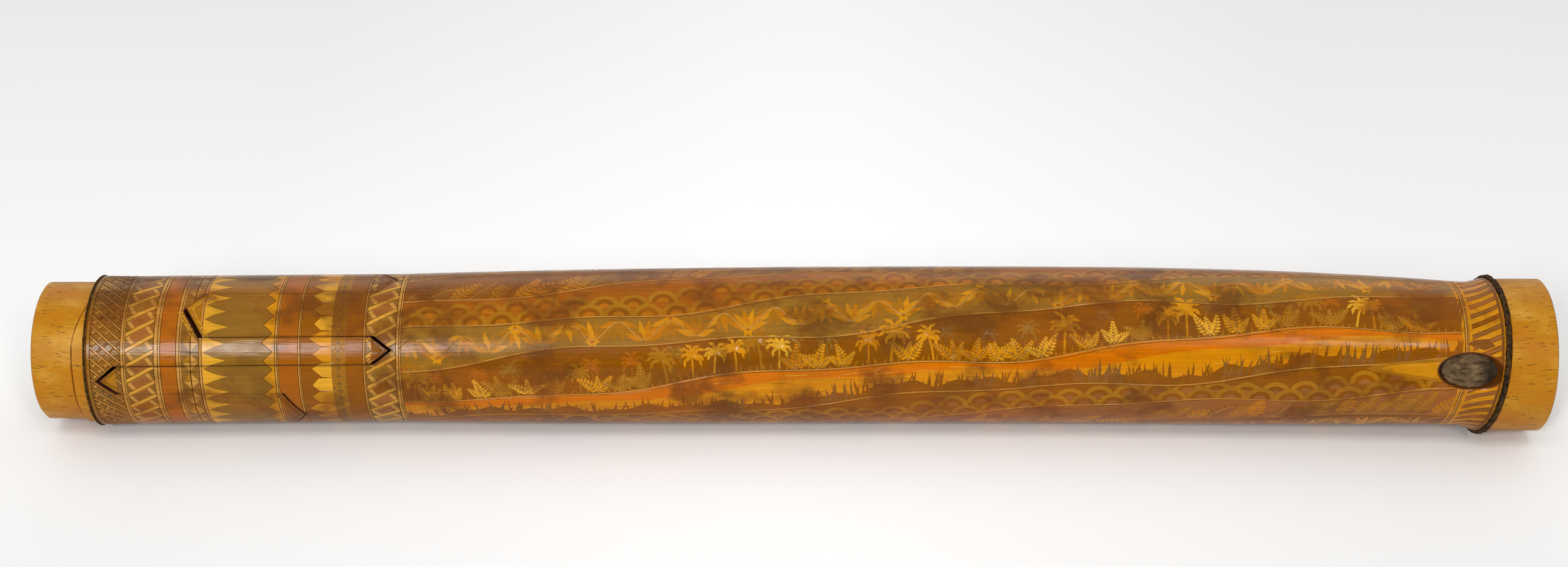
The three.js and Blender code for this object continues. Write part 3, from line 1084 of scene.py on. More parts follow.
    def hills(self, low: float, high: float, tones: tuple[Tone, ...]) -> None:
        """Rows of round hills that hide one another, each with its inner rounds."""
        rows = max(2, round((high - low) / 4))
        turns = [math.pi * k / 8 for k in range(9)]
        for row in range(rows - 1, -1, -1):
            shift = 0.5 * (row % 2)
            level = low + (high - low) * row / rows
            for number, x in enumerate(self.stations(self.hill)[:-1]):
                middle = x + self.hill * shift + self.hill / 2
                foot = self.bank(x + self.hill / 2, level)
                size = self.draw.uniform(0.92, 1.06)
                for share, tone in zip((1.0, 0.7, 0.4), tones):
                    wide, tall = 4.9 * share, 4.6 * size * share
                    dome = [(middle + wide * math.cos(t), foot + tall * math.sin(t)) for t in turns]
                    self.art.fill(dome, tone, 0.94 if number % 2 else 1.04)

    def river(self, low: float, high: float) -> None:
        """Bright water under the far bank, ripples, and dark reeds on the near bank."""
        room = high - low
        self.art.fill(self.shore(low + 0.68 * room) + self.shore(high)[::-1], Tone.BRIGHT)
        for _ in range(60):
            x, share = self.draw.uniform(self.start + 2, self.end - 16), self.draw.uniform(0.2, 0.95)
            spots = [x + self.draw.uniform(2, 5) * k for k in range(3)]
            banks = [(self.bank(p, low), self.bank(p, high)) for p in spots]
            path = [(p, near + share * (far - near)) for p, (near, far) in zip(spots, banks)]
            if all(a[0] < b[0] for a, b in zip(path, path[1:])):
                self.art.line(path, 0.22, self.draw.choice((Tone.HONEY, Tone.STRAW)), 0.05)
        mounds = []
        for x in self.stations(2.5):
            swell = 0.3 + 0.08 * math.sin(x / 4.1) + 0.07 * math.sin(x / 1.9)
            mounds.append((x, self.bank(x, low) + room * swell))
        self.art.fill(self.shore(low - 0.3) + mounds[::-1], Tone.BROWN)
        x = self.start + 1
        while x < self.end - 4:
            tone = self.draw.choice((Tone.BROWN, Tone.BROWN, Tone.HAZEL))
            for _ in range(self.draw.randint(4, 12)):
                turn = math.pi / 2 + self.draw.uniform(-0.4, 0.4)
                tall = room * self.draw.uniform(0.4, 0.8)
                self.leaf((x, self.bank(x, low) - 0.6), turn, tall, self.draw.uniform(0.6, 1.3), tone)
                x += self.draw.uniform(0.5, 1.2)
            x += self.draw.uniform(0.2, 2.2)

    def ferns(self, low: float, high: float) -> None:
        """Fronds that lean towards the foot, one behind the other."""
        tall = high - low
        x = self.start + 2
        while x < self.end - 4:
            way = 0.75 + self.draw.uniform(-0.15, 0.35)
            tone = self.draw.choice((Tone.OCHRE, Tone.HONEY, Tone.HAZEL))
            self.fern((x, self.bank(x, low) + 0.6), way, 0.95 * tall, tone)
            x += self.draw.uniform(0.5, 0.66) * tall

    def scene(self) -> None:
        """Draws every stretch round the culm, then the banks between them."""
        levels = [level for level, _, _ in self.rows] + [self.rows[0][0] + TURN]
        stretches = [(low, high, tone, motif) for (low, tone, motif), high in zip(self.rows, levels[1:])]
        for low, high, tone, _ in stretches:
            self.art.fill(self.shore(low) + self.shore(high)[::-1], tone)
        soft = (Tone.OCHRE, Tone.BROWN, Tone.MAUVE)
        warm = (Tone.OCHRE, Tone.BROWN, Tone.ORANGE)
        for low, high, tone, motif in stretches:
            if motif is Motif.PALMS:
                self.palms(low, high)
            elif motif is Motif.VINE:
                self.vine(low, high)
            elif motif is Motif.HILLS:
                self.hills(low, high - 2, warm if tone is Tone.RUST else soft)
            elif motif is Motif.RIVER:
                self.river(low, high)
            else:
                self.ferns(low, high)
        for level in levels[:-1]:
            self.art.line(self.shore(level), 0.34, Tone.TAN, 0.08)
            self.art.line(self.shore(level - 0.5), 0.2, Tone.UMBER, 0.08)


@dataclass
class Shell:
    """Vertices and faces of one closed mesh, with a stain, a finish and corner normals for each face."""

    points: list[tuple[float, float, float]] = field(default_factory=list)
    faces: list[tuple[int, ...]] = field(default_factory=list)
    stains: list[Tone] = field(default_factory=list)
    shades: list[float] = field(default_factory=list)
    surfaces: list[Surface] = field(default_factory=list)
    smooth: dict[int, np.ndarray] = field(default_factory=dict)
    even: float = 0.93

    def add_points(self, rows: np.ndarray) -> list[int]:
        """Adds points in metres and returns their numbers."""
        first = len(self.points)
        self.points.extend(map(tuple, rows))
        return list(range(first, len(self.points)))

    def add_face(self, corners: tuple[int, ...], stain: Tone, surface: Surface, shade: float = 1.0) -> None:
        """Adds one face, unless welding left it fewer than three corners."""
        if len(set(corners)) < 3:
            return
        self.faces.append(corners)
        self.stains.append(stain)
        self.shades.append(shade)
        self.surfaces.append(surface)

    def build(self, name: str, materials: Sequence[bpy.types.Material]) -> bpy.types.Object:
        """Makes the mesh object.

        Args:
            name: Its name.
            materials: One material for each Surface, in order.

        Returns:
            The object, at the origin.
        """
        used = sorted({corner for face in self.faces for corner in face})
        number = {old: new for new, old in enumerate(used)}
        mesh = bpy.data.meshes.new(name)
        faces = [tuple(number[c] for c in face) for face in self.faces]
        mesh.from_pydata([self.points[old] for old in used], [], faces)
        for material in materials:
            mesh.materials.append(material)
        mesh.polygons.foreach_set("material_index", [surface.value for surface in self.surfaces])
        mesh.polygons.foreach_set("use_smooth", [True] * len(faces))
        stain = mesh.color_attributes.new("stain", "FLOAT_COLOR", "CORNER")
        colours = {tone: tone.linear() for tone in Tone}
        painted = []
        for face, tone, shade in zip(faces, self.stains, self.shades):
            painted.extend([value * shade for value in colours[tone]] * len(face))
        stain.data.foreach_set("color", painted)
        flats = np.zeros(len(faces) * 3)
        mesh.polygons.foreach_get("normal", flats)
        normals = []
        for face, flat in zip(self.faces, flats.reshape(-1, 3)):
            even = all(c in self.smooth and self.smooth[c] @ flat > self.even for c in face)
            normals.extend(self.smooth[corner] if even else flat for corner in face)
        mesh.normals_split_custom_set(normals)
        mesh.update()
        made = bpy.data.objects.new(name, mesh)
        bpy.context.scene.collection.objects.link(made)
        return made


Row = tuple[float, float, Tone, Surface]


@dataclass
class CulmHalf:
    """One half of the engraved culm: skin, seam wall, bore, septum and sawn stub."""

    half: Half
    form: CulmForm
    sheet: Sheet
    low: float
    fillet: float = 1.4
    bore_sides: int = 90
    bore_ease: float = 0.4
    floor_ease: Point = (2.0, 0.6)
    shell: Shell = field(default_factory=Shell)

    @property
    def end(self) -> float:
        """The station of the half's sawn end."""
        return self.form.lid_end if self.half is Half.LID else self.form.foot_end

    @property
    def node(self) -> float:
        """The station of the half's node."""
        return self.form.lid_node if self.half is Half.LID else self.form.foot_node

    def bore(self, x: np.ndarray) -> np.ndarray:
        """The radius of the hollow."""
        return (self.form.run(x) - self.form.wall) * FACET_FLAT

    def _surface(self, x: float) -> Surface:
        """The finish of the skin at a station: pared on the stubs, engraved between them."""
        stub_start = self.form.lid_node - self.form.lid_channel
        foot_start = self.form.foot_node + self.form.foot_channel
        return Surface.SKIN if stub_start < x < foot_start else Surface.PARED

    def _weld(self, spots: np.ndarray) -> dict[int, int]:
        """Pairs the points of the sheet's upper border with those of its lower one."""
        borders = (self.low, self.low + TURN)
        lower, upper = (np.flatnonzero(abs(spots[:, 1] - s) < ON_BORDER) for s in borders)
        away = abs(spots[upper, 0][:, None] - spots[lower, 0][None, :])
        nearest = away.argmin(axis=1)
        pairs = zip(upper, nearest, away)
        return {int(i): int(lower[k]) for i, k, row in pairs if row[k] < 2 * ON_BORDER}

    def _skin(self) -> None:
        """Lays the engraved sheet on the culm."""
        x, s = self.sheet.spots.T
        rows = self.form.place(x, s, self.form.radius(x, s) - self.sheet.depth)
        self.shell.add_points(rows)
        normals = self.form.normals(x, s)
        self.shell.smooth.update(
            {i: n for i, n in enumerate(normals) if self.sheet.depth[i] == 0}
        )
        weld = self._weld(self.sheet.spots)
        sheet, half = self.sheet, self.half
        for corners, tone, shade in zip(sheet.triangles[half], sheet.tones[half], sheet.shades[half]):
            surface = self._surface(float(np.mean(x[list(corners)])))
            # UMBER stays on the pared stub so that the painted shade at the foot of the ledge's step shows
            # there.
            stain = tone if surface is Surface.SKIN or tone is Tone.UMBER else Tone.PARED
            self.shell.add_face(tuple(weld.get(c, c) for c in corners), stain, surface, shade)

    def _borders(self) -> tuple[list[int], list[int]]:
        """The sheet's open sides.

        Returns:
            The points along the sawn end, and those along the seam, both rising from the low border.
        """
        seen = dict.fromkeys(edge for face in self.sheet.triangles[self.half] for edge in sides_of(face))
        follow = {a: b for a, b in seen if (b, a) not in seen}
        if self.half is Half.BODY:
            follow = {b: a for a, b in follow.items()}
        spots = self.sheet.spots
        sawn = self.end - self.half.value * self.form.chamfer
        rim = [i for i in follow if abs(spots[i][0] - sawn) < 0.05]
        rim.sort(key=lambda i: spots[i][1])
        low_side = [i for i in follow if abs(spots[i][1] - self.low) < ON_BORDER]
        chain = [max(low_side, key=lambda i: -self.half.value * spots[i][0])]
        while abs(spots[chain[-1]][1] - self.low - TURN) > ON_BORDER:
            chain.append(follow[chain[-1]])
        return rim, chain

    def _cap(self, ring: list[int], stations: np.ndarray, rows: Sequence[Row], outward: bool) -> None:
        """Closes a ring of points with turned rows and a last fan to the middle.

        Args:
            ring: The ring's points, rising round the culm, without the welded last one.
            stations: The distance round the skin of each.
            rows: Station and radius of each row, with the stain and finish of the faces that lead to it.
            outward: Whether the faces run round the rising way.
        """
        last = ring
        for x, radius, stain, surface in rows:
            around = stations if radius > 0 else stations[:1]
            spots = self.form.place(np.full(len(around), x), around, np.full(len(around), radius))
            made = self.shell.add_points(spots) * (1 if radius > 0 else len(ring))
            for i in range(len(ring)):
                j = (i + 1) % len(ring)
                quad = (last[i], last[j], made[j], made[i])
                face = quad[:3] if made[i] == made[j] else quad
                self.shell.add_face(face if outward else face[::-1], stain, surface)
            last = made

    def _hollow(self, outline: Sequence[Point], start: float, around: Sequence[float]) -> list[int]:
        """Lays the bore between the seam and the septum.

        Args:
            outline: The bore's outline on the flat sheet.
            start: The station at which the bore turns into the septum.
            around: Distances round the skin, from the sheet's low border to its high one.

        Returns:
            The shell's point for each point of the outline.
        """
        node = self.form.lid_node
        count = max(4, int(abs(start - node) / LENGTH_STEP))
        stations = [node + (start - node) * (k + 0.5) / count for k in range(count)]
        spare = [(x, s) for x in stations for s in around[1:-1]]
        spots, _, faces, origin, _, face_of = delaunay_2d_cdt(
            [Vector(p) for p in [*outline, *spare]], [], [list(range(len(outline)))], 0, BORE_MERGE
        )
        spots = np.array([tuple(v) for v in spots])
        x, s = spots.T
        first = len(self.shell.points)
        self.shell.add_points(self.form.place(x, s, self.bore(x)))
        for i, angle in enumerate(s / SKIN_RADIUS):
            self.shell.smooth[first + i] = np.array([0.0, math.cos(angle), -math.sin(angle)])
        weld = self._weld(spots)
        for face, of in zip(faces, face_of):
            if of:
                corners = tuple(first + weld.get(c, c) for c in face)
                self.shell.add_face(corners[::-1], Tone.INSIDE, Surface.INSIDE)
        numbers = {given: first + weld.get(i, i) for i, of in enumerate(origin) for given in of}
        return [numbers[k] for k in range(len(outline))]

    def _inside(self, chain: list[int]) -> None:
        """Makes the seam's wall, the bore and the inner side of the septum.

        Args:
            chain: The skin's points along the seam, rising.
        """
        lid, toward = self.half is Half.LID, self.half.value
        start = self.node - toward * (self.form.septum / 2 + self.fillet)
        around = [self.low + TURN * k / self.bore_sides for k in range(self.bore_sides + 1)]
        rim = [(start, s) for s in around]
        seam = [tuple(self.sheet.spots[i]) for i in chain]
        if lid:
            numbers = self._hollow(rim[::-1] + seam, start, around)
            ends, inner = numbers[:len(rim)][::-1], numbers[len(rim):]
        else:
            numbers = self._hollow(seam[::-1] + rim, start, around)
            inner, ends = numbers[:len(seam)][::-1], numbers[len(seam):]
        weld = self._weld(self.sheet.spots)
        outer = [weld.get(i, i) for i in chain]
        # The seam's walls are painted dark red: painted shade in the narrow gaps between the tongues.
        for k in range(len(chain) - 1):
            quad = (outer[k], outer[k + 1], inner[k + 1], inner[k])
            self.shell.add_face(quad[::-1] if lid else quad, Tone.GAP, Surface.SAWN)
        inside = (Tone.INSIDE, Surface.INSIDE)
        radius = float(self.bore(np.array([start]))[0])
        rows = []
        for k in range(1, 5):
            turn = math.pi / 2 * k / 4
            along = start + toward * self.fillet * math.sin(turn)
            rows.append((along, radius - self.fillet * (1 - math.cos(turn)), *inside))
        face = start + toward * self.fillet
        rows += [(face, radius * share, *inside) for share in (0.55, 0.25, 0.0)]
        self._cap(ends[:-1], np.array(around[:-1]), rows, outward=not lid)

    def _stub(self, rim: list[int]) -> None:
        """Makes the sawn end, the bore of the stub and the outer side of the septum.

        Args:
            rim: The skin's points along the sawn end, rising.
        """
        toward = self.half.value
        stations = self.sheet.spots[rim][:, 1]
        x_rim = np.full(len(rim), self.end - toward * self.form.chamfer)
        outer = float(np.min(self.form.radius(x_rim, stations)))
        bore = outer - self.form.wall
        floor = self.node + toward * self.form.septum / 2
        rise, corner = self.floor_ease
        sawn, inside = (Tone.SAWN, Surface.SAWN), (Tone.INSIDE, Surface.INSIDE)
        rows = [
            (self.end, outer - self.form.chamfer, Tone.PARED, Surface.PARED),
            (self.end, bore + self.bore_ease, *sawn),
            (self.end - toward * self.bore_ease, bore, *sawn),
            (floor + toward * rise, bore, *inside),
            (floor + toward * corner, bore - corner, *inside),
        ]
        rows += [(floor, bore * share, *inside) for share in (0.88, 0.5, 0.2, 0.0)]
        self._cap(rim[:-1], stations[:-1], rows, outward=self.half is Half.LID)

    def build(self, name: str, materials: Sequence[bpy.types.Material]) -> bpy.types.Object:
        """Makes the half as one closed mesh.

        Args:
            name: The object's name.
            materials: One material for each Surface, in order.

        Returns:
            The object.
        """
        self._skin()
        rim, chain = self._borders()
        self._inside(chain)
        self._stub(rim)
        return self.shell.build(name, materials)


class Graph:
    """The node tree of a material or a world, built by adding one node at a time."""

    def __init__(self, owner: bpy.types.Material | bpy.types.World) -> None:
        """Starts the owner's tree with nothing in it."""
        self.owner = owner
        owner.use_nodes = True
        self.tree = owner.node_tree
        self.tree.nodes.clear()

    def add(self, kind: str, settings: dict | None = None, **inputs: object) -> bpy.types.Node:
        """Adds a node.

        Args:
            kind: The node's type.
            settings: Its own properties.
            **inputs: Values or sockets for its inputs, by name with _ for a space, or by iN for number N.

        Returns:
            The node.
        """
        node = self.tree.nodes.new(kind)
        for key, value in (settings or {}).items():
            setattr(node, key, value)
        for key, value in inputs.items():
            numbered = key[0] == "i" and key[1:].isdigit()
            socket = node.inputs[int(key[1:])] if numbered else node.inputs[key.replace("_", " ")]
            if isinstance(value, Socket):
                self.tree.links.new(value, socket)
            else:
                socket.default_value = value
        return node

    def coords(self, scale: Grain) -> Socket:
        """The piece's own coordinates, stretched."""
        place = self.add("ShaderNodeTexCoord")
        return self.add("ShaderNodeMapping", Vector=place.outputs["Object"], Scale=scale).outputs["Vector"]

    def stain(self) -> Socket:
        """The engraving's stain, kept in the mesh."""
        return self.add("ShaderNodeAttribute", {"attribute_name": "stain"}).outputs["Color"]

    def noise(self, scale: Grain, detail: float = 4.0, rough: float = 0.55) -> Socket:
        """Smooth noise of a given grain per metre along each axis."""
        where = self.coords(scale)
        node = self.add("ShaderNodeTexNoise", Vector=where, Scale=1.0, Detail=detail, Roughness=rough)
        return node.outputs["Fac"]

    def maths(self, operation: str, *values: Socket | float) -> Socket:
        """The result of an operation on sockets or numbers."""
        inputs = {f"i{number}": value for number, value in enumerate(values)}
        return self.add("ShaderNodeMath", {"operation": operation}, **inputs).outputs[0]

    def spread(self, value: Socket, low: float, high: float, to_low: float, to_high: float) -> Socket:
        """A value's range low to high spread over another range, and held beyond its ends."""
        node = self.add("ShaderNodeMapRange", i0=value, i1=low, i2=high, i3=to_low, i4=to_high)
        return node.outputs[0]

    def mix(self, base: Socket | Sequence[float], over: Sequence[float], share: Socket) -> Socket:
        """A linear colour laid over a base by a share from 0 to 1."""
        node = self.add("ShaderNodeMix", {"data_type": "RGBA"}, i0=share, i6=base, i7=over)
        return node.outputs[2]

    def tint(self, base: Socket | Sequence[float], colour: Colour, share: Socket) -> Socket:
        """A display colour laid over a base by a share from 0 to 1."""
        return self.mix(base, linear_colour(colour), share)

    def shade(self, base: Socket, value: Socket) -> Socket:
        """A base colour made lighter or darker by a factor."""
        scaled = self.add("ShaderNodeVectorMath", {"operation": "SCALE"}, i0=base, Scale=value)
        return scaled.outputs[0]

    def bump(self, height: Socket, strength: float, distance: float) -> Socket:
        """Fine relief from a height."""
        node = self.add("ShaderNodeBump", Height=height, Strength=strength, Distance=distance)
        return node.outputs["Normal"]

    def finish(self, **inputs: object) -> bpy.types.Material:
        """Ends the tree with a principled shader and returns the material."""
        shader = self.add("ShaderNodeBsdfPrincipled", **inputs)
        self.add("ShaderNodeOutputMaterial", Surface=shader.outputs[0])
        return self.owner


@dataclass(frozen=True)
class SkinFinish:
    """Polished bamboo skin that carries the engraving's stains."""

    fibre: Grain = (45.0, 1500.0, 1500.0)
    cloud: Grain = (70.0, 120.0, 120.0)
    patch: Grain = (22.0, 45.0, 45.0)
    wash: Grain = (60.0, 75.0, 75.0)
    polish: Grain = (120.0, 400.0, 400.0)
    ripple: Grain = (90.0, 420.0, 420.0)
    smear: Colour = (88, 48, 12)
    amber: Colour = (168, 84, 8)
    grime: Colour = (104, 68, 20)

    def material(self) -> bpy.types.Material:
        """Makes the material."""
        g = Graph(bpy.data.materials.new("engraved_skin"))
        stain = g.stain()
        fibre = g.noise(self.fibre, 3.0)
        cloud = g.noise(self.cloud, 5.0, 0.6)
        patch = g.noise(self.patch, 3.0)
        wash = g.noise(self.wash, 4.0, 0.6)
        smudged = g.tint(stain, self.smear, g.spread(wash, 0.5, 0.64, 0.0, 0.72))
        warm = g.tint(smudged, self.amber, g.spread(patch, 0.45, 0.75, 0.0, 0.28))
        dull = g.tint(warm, self.grime, g.spread(cloud, 0.5, 0.8, 0.0, 0.3))
        streaked = g.shade(dull, g.spread(fibre, 0.25, 0.75, 0.86, 1.12))
        mottled = g.shade(streaked, g.spread(cloud, 0.25, 0.75, 1.08, 0.9))
        rough = g.spread(g.noise(self.polish, 4.0), 0.3, 0.7, 0.14, 0.26)
        relief = g.bump(g.maths("MULTIPLY_ADD", g.noise(self.ripple, 2.0), 2.0, fibre), 0.14, 0.0003)
        return g.finish(Base_Color=mottled, Roughness=rough, Specular_IOR_Level=0.1, Normal=relief)


@dataclass(frozen=True)
class ParedFinish:
    """The stubs, pared with a knife: satin, with short dark ends of fibres."""

    dash: Grain = (330.0, 1900.0, 1900.0)
    patch: Grain = (60.0, 90.0, 90.0)
    amber: Colour = (166, 92, 4)
    straw: Colour = (206, 152, 66)
    fibre: Colour = (96, 56, 10)

    def material(self) -> bpy.types.Material:
        """Makes the material."""
        g = Graph(bpy.data.materials.new("pared_stub"))
        stain = g.stain()
        dash = g.noise(self.dash, 2.0)
        patch = g.noise(self.patch, 4.0)
        warm = g.tint(stain, self.amber, g.spread(patch, 0.42, 0.7, 0.0, 0.7))
        pale = g.tint(warm, self.straw, g.spread(patch, 0.5, 0.3, 0.0, 0.5))
        dashed = g.tint(pale, self.fibre, g.spread(dash, 0.6, 0.68, 0.0, 0.7))
        rough = g.spread(dash, 0.3, 0.7, 0.36, 0.52)
        relief = g.bump(dash, 0.25, 0.0004)
        return g.finish(Base_Color=dashed, Roughness=rough, Specular_IOR_Level=0.15, Normal=relief)


@dataclass(frozen=True)
class SawnFinish:
    """Sawn bamboo: pale ground tissue with the dots of its bundles."""

    bundles: float = 900.0
    dot: Colour = (104, 62, 22)

    def material(self) -> bpy.types.Material:
        """Makes the material."""
        g = Graph(bpy.data.materials.new("sawn_bamboo"))
        stain = g.stain()
        dots = g.add("ShaderNodeTexVoronoi", Vector=g.coords((0.25, 1.0, 1.0)), Scale=self.bundles)
        near = g.spread(dots.outputs["Distance"], 0.2, 0.42, 0.75, 0.0)
        dotted = g.tint(stain, self.dot, near)
        worn = g.shade(dotted, g.spread(g.noise((200.0, 200.0, 200.0)), 0.3, 0.7, 0.8, 1.1))
        return g.finish(Base_Color=worn, Roughness=0.72, Normal=g.bump(near, 0.3, 0.0002))


@dataclass(frozen=True)
class InsideFinish:
    """The culm's inside and the sleeve: pale, dry and papery, with long fibres; made dark, it is the
    painted shade on the sleeve's outside.
    """

    name: str
    colour: Colour
    fibre: Grain = (30.0, 900.0, 900.0)
    patch: Grain = (40.0, 60.0, 60.0)
    darkest: float = 0.72

    def material(self) -> bpy.types.Material:
        """Makes the material."""
        g = Graph(bpy.data.materials.new(self.name))
        fibre = g.noise(self.fibre, 3.0)
        patch = g.noise(self.patch, 4.0)
        pale = linear_colour(self.colour)
        dark = (*(self.darkest * channel for channel in pale[:3]), 1.0)
        base = g.mix(pale, dark, g.spread(patch, 0.35, 0.65, 0.0, 1.0))
        shaded = g.shade(base, g.spread(fibre, 0.3, 0.7, 0.84, 1.1))
        return g.finish(Base_Color=shaded, Roughness=0.78, Normal=g.bump(fibre, 0.3, 0.0004))


@dataclass(frozen=True)
class CorkFinish:
    """Dry sheath remains: a dark ground with browner crests and pale flecks."""

    ground: Colour = (26, 16, 6)
    crest: Colour = (82, 56, 24)
    fleck: Colour = (150, 118, 70)

    def material(self) -> bpy.types.Material:
        """Makes the material."""
        g = Graph(bpy.data.materials.new("sheath_cork"))
        lumps = g.noise((700.0, 700.0, 700.0), 5.0, 0.65)
        flecks = g.noise((1500.0, 1500.0, 1500.0), 3.0)
        base = g.tint(linear_colour(self.ground), self.crest, g.spread(lumps, 0.4, 0.65, 0.0, 1.0))
        pale = g.tint(base, self.fleck, g.spread(flecks, 0.64, 0.74, 0.0, 0.6))
        relief = g.bump(lumps, 0.8, 0.001)
        return g.finish(Base_Color=pale, Roughness=0.82, Specular_IOR_Level=0.15, Normal=relief)


@dataclass(frozen=True)
class ScarFinish:
    """The weathered end of the side branch: grey-brown torn fibres, darker towards the node."""

    turn: float
    ground: Colour = (58, 42, 24)
    fibre: Colour = (140, 114, 80)

    def material(self) -> bpy.types.Material:
        """Makes the material."""
        g = Graph(bpy.data.materials.new("branch_scar"))
        torn = g.noise((260.0, 520.0, 520.0), 8.0, 0.7)
        patch = g.noise((130.0, 160.0, 160.0), 3.0)
        along = g.add("ShaderNodeSeparateXYZ", Vector=g.coords((1000.0, 1000.0, 1000.0))).outputs["X"]
        base = g.tint(linear_colour(self.ground), self.fibre, g.spread(torn, 0.36, 0.66, 0.0, 1.0))
        worn = g.shade(base, g.spread(patch, 0.35, 0.65, 1.15, 0.6))
        shaded = g.shade(worn, g.spread(along, self.turn + 0.5, self.turn + 5, 1.05, 0.3))
        relief = g.bump(torn, 0.8, 0.0012)
        return g.finish(Base_Color=shaded, Roughness=0.85, Specular_IOR_Level=0.2, Normal=relief)


def deselect() -> None:
    """Clears the selection before an operator runs."""
    bpy.ops.object.select_all(action="DESELECT")


def applied(made: bpy.types.Object) -> bpy.types.Object:
    """Applies an object's place and modifiers, so that it sits at the origin with its shape in its mesh."""
    deselect()
    made.select_set(True)
    bpy.context.view_layer.objects.active = made
    bpy.ops.object.transform_apply(location=True, rotation=True, scale=True)
    for modifier in [m.name for m in made.modifiers]:
        bpy.ops.object.modifier_apply(modifier=modifier)
    return made


def resized(made: bpy.types.Object, factors: Sequence[float]) -> None:
    """Stretches an object's whole mesh in edit mode, along its own axes."""
    bpy.context.view_layer.objects.active = made
    bpy.ops.object.mode_set(mode="EDIT")
    bpy.ops.mesh.select_all(action="SELECT")
    bpy.ops.transform.resize(value=factors)
    bpy.ops.object.mode_set(mode="OBJECT")


def dressed(made: bpy.types.Object, *materials: bpy.types.Material) -> bpy.types.Object:
    """Gives an object its materials in the order of their slots, and returns it."""
    made.data.materials.clear()
    for material in materials:
        made.data.materials.append(material)
    return made


def direction(turn: float, rise: float) -> Vector:
    """The way from the case to a place so many degrees round it from the front and up from the floor."""
    a, e = math.radians(turn), math.radians(rise)
    return Vector((math.sin(a) * math.cos(e), -math.cos(a) * math.cos(e), math.sin(e)))


def roughened(made: bpy.types.Object, grain: float, strength: float) -> None:
    """Pushes an object's surface in and out by cloudy noise.

    Args:
        made: The object.
        grain: The size of the lumps in millimetres.
        strength: The height of the lumps in millimetres.
    """
    clouds = bpy.data.textures.new(made.name + "_lumps", "CLOUDS")
    clouds.noise_scale = grain * MM
    clouds.noise_depth = 3
    push = made.modifiers.new("lumps", "DISPLACE")
    push.texture = clouds
    push.texture_coords = "LOCAL"
    push.strength = strength * MM
    push.mid_level = 0.5


@dataclass
class InnerSleeve:
    """The bamboo sleeve behind the tongues: a scraped tube with eased rims."""

    wall: float = 1.8
    ease: float = 0.5
    gap: float = 0.3
    sides: int = 120
    crease: float = 35.0

    def build(self, form: CulmForm) -> bpy.types.Object:
        """Models the tube in the solid's place.

        Args:
            form: The culm, whose line the sleeve follows.

        Returns:
            The sleeve.
        """
        low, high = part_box("inner_sleeve")
        ends = np.array([low.x, high.x]) / MM
        y, z = form.axis(ends)
        start, end = (Vector((ends[k], y[k], z[k])) * MM for k in (0, 1))
        radius = (form.closure_radius - form.wall - self.gap) * FACET_FLAT * MM
        deselect()
        bpy.ops.mesh.primitive_cylinder_add(
            vertices=self.sides, radius=radius, depth=(end - start).length, end_fill_type="NOTHING",
            location=(start + end) / 2, rotation=(end - start).to_track_quat("Z", "Y").to_euler(),
        )
        made = bpy.context.object
        made.name = "inner_sleeve_tube"
        bpy.ops.object.mode_set(mode="EDIT")
        bpy.ops.mesh.select_all(action="SELECT")
        bpy.ops.mesh.normals_make_consistent(inside=False)
        bpy.ops.object.mode_set(mode="OBJECT")
        thick = made.modifiers.new("wall", "SOLIDIFY")
        thick.thickness = self.wall * MM
        thick.offset = -1
        soft = made.modifiers.new("eased", "BEVEL")
        soft.width = self.ease * MM
        soft.segments = 2
        applied(made)
        bpy.ops.object.shade_smooth_by_angle(angle=math.radians(self.crease))
        bare = InsideFinish("sleeve_wood", (199, 158, 92)).material()
        # The sleeve's outside, seen through the seam's gaps, is a dark brown that is painted shade.
        dressed(made, bare, InsideFinish("sleeve_painted_shade", (84, 42, 18)).material())
        along = (end - start).normalized()
        # Faces out by the sleeve's outer side take the painted shade, the others the bare wood.
        for face in made.data.polygons:
            away = face.center - start
            face.material_index = int((away - along * away.dot(along)).length > radius - self.gap * MM)
        return made


@dataclass
class SheathRing:
    """The corky collar that the culm's sheath left at a node."""

    node: str
    way: Vector
    wide: float
    lump: float
    cork: CorkFinish = CorkFinish()
    segments: tuple[int, int] = (240, 16)
    grain: float = 1.6
    sunk: float = 0.2

    def build(self, form: CulmForm) -> bpy.types.Object:
        """Models the collar in the solid's place.

        Args:
            form: The culm, in whose channel the collar sits.

        Returns:
            The collar.
        """
        low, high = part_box(self.node)
        middle = (low + high) / 2
        crest = (high.z - low.z) / 2 / MM - 0.5 * self.lump
        x = np.array([middle.x / MM])
        floor = float(np.min(form.radius(x, np.array([arc(90.0)])))) - self.sunk
        deselect()
        bpy.ops.mesh.primitive_torus_add(
            major_radius=(crest + floor) / 2 * MM, minor_radius=(crest - floor) / 2 * MM,
            major_segments=self.segments[0], minor_segments=self.segments[1],
        )
        made = bpy.context.object
        made.name = self.node + "_collar"
        resized(made, (1, 1, self.wide / (crest - floor)))
        made.rotation_euler = self.way.to_track_quat("Z", "Y").to_euler()
        made.location = middle
        roughened(made, self.grain, self.lump)
        applied(made)
        bpy.ops.object.shade_smooth()
        return dressed(made, self.cork.material())


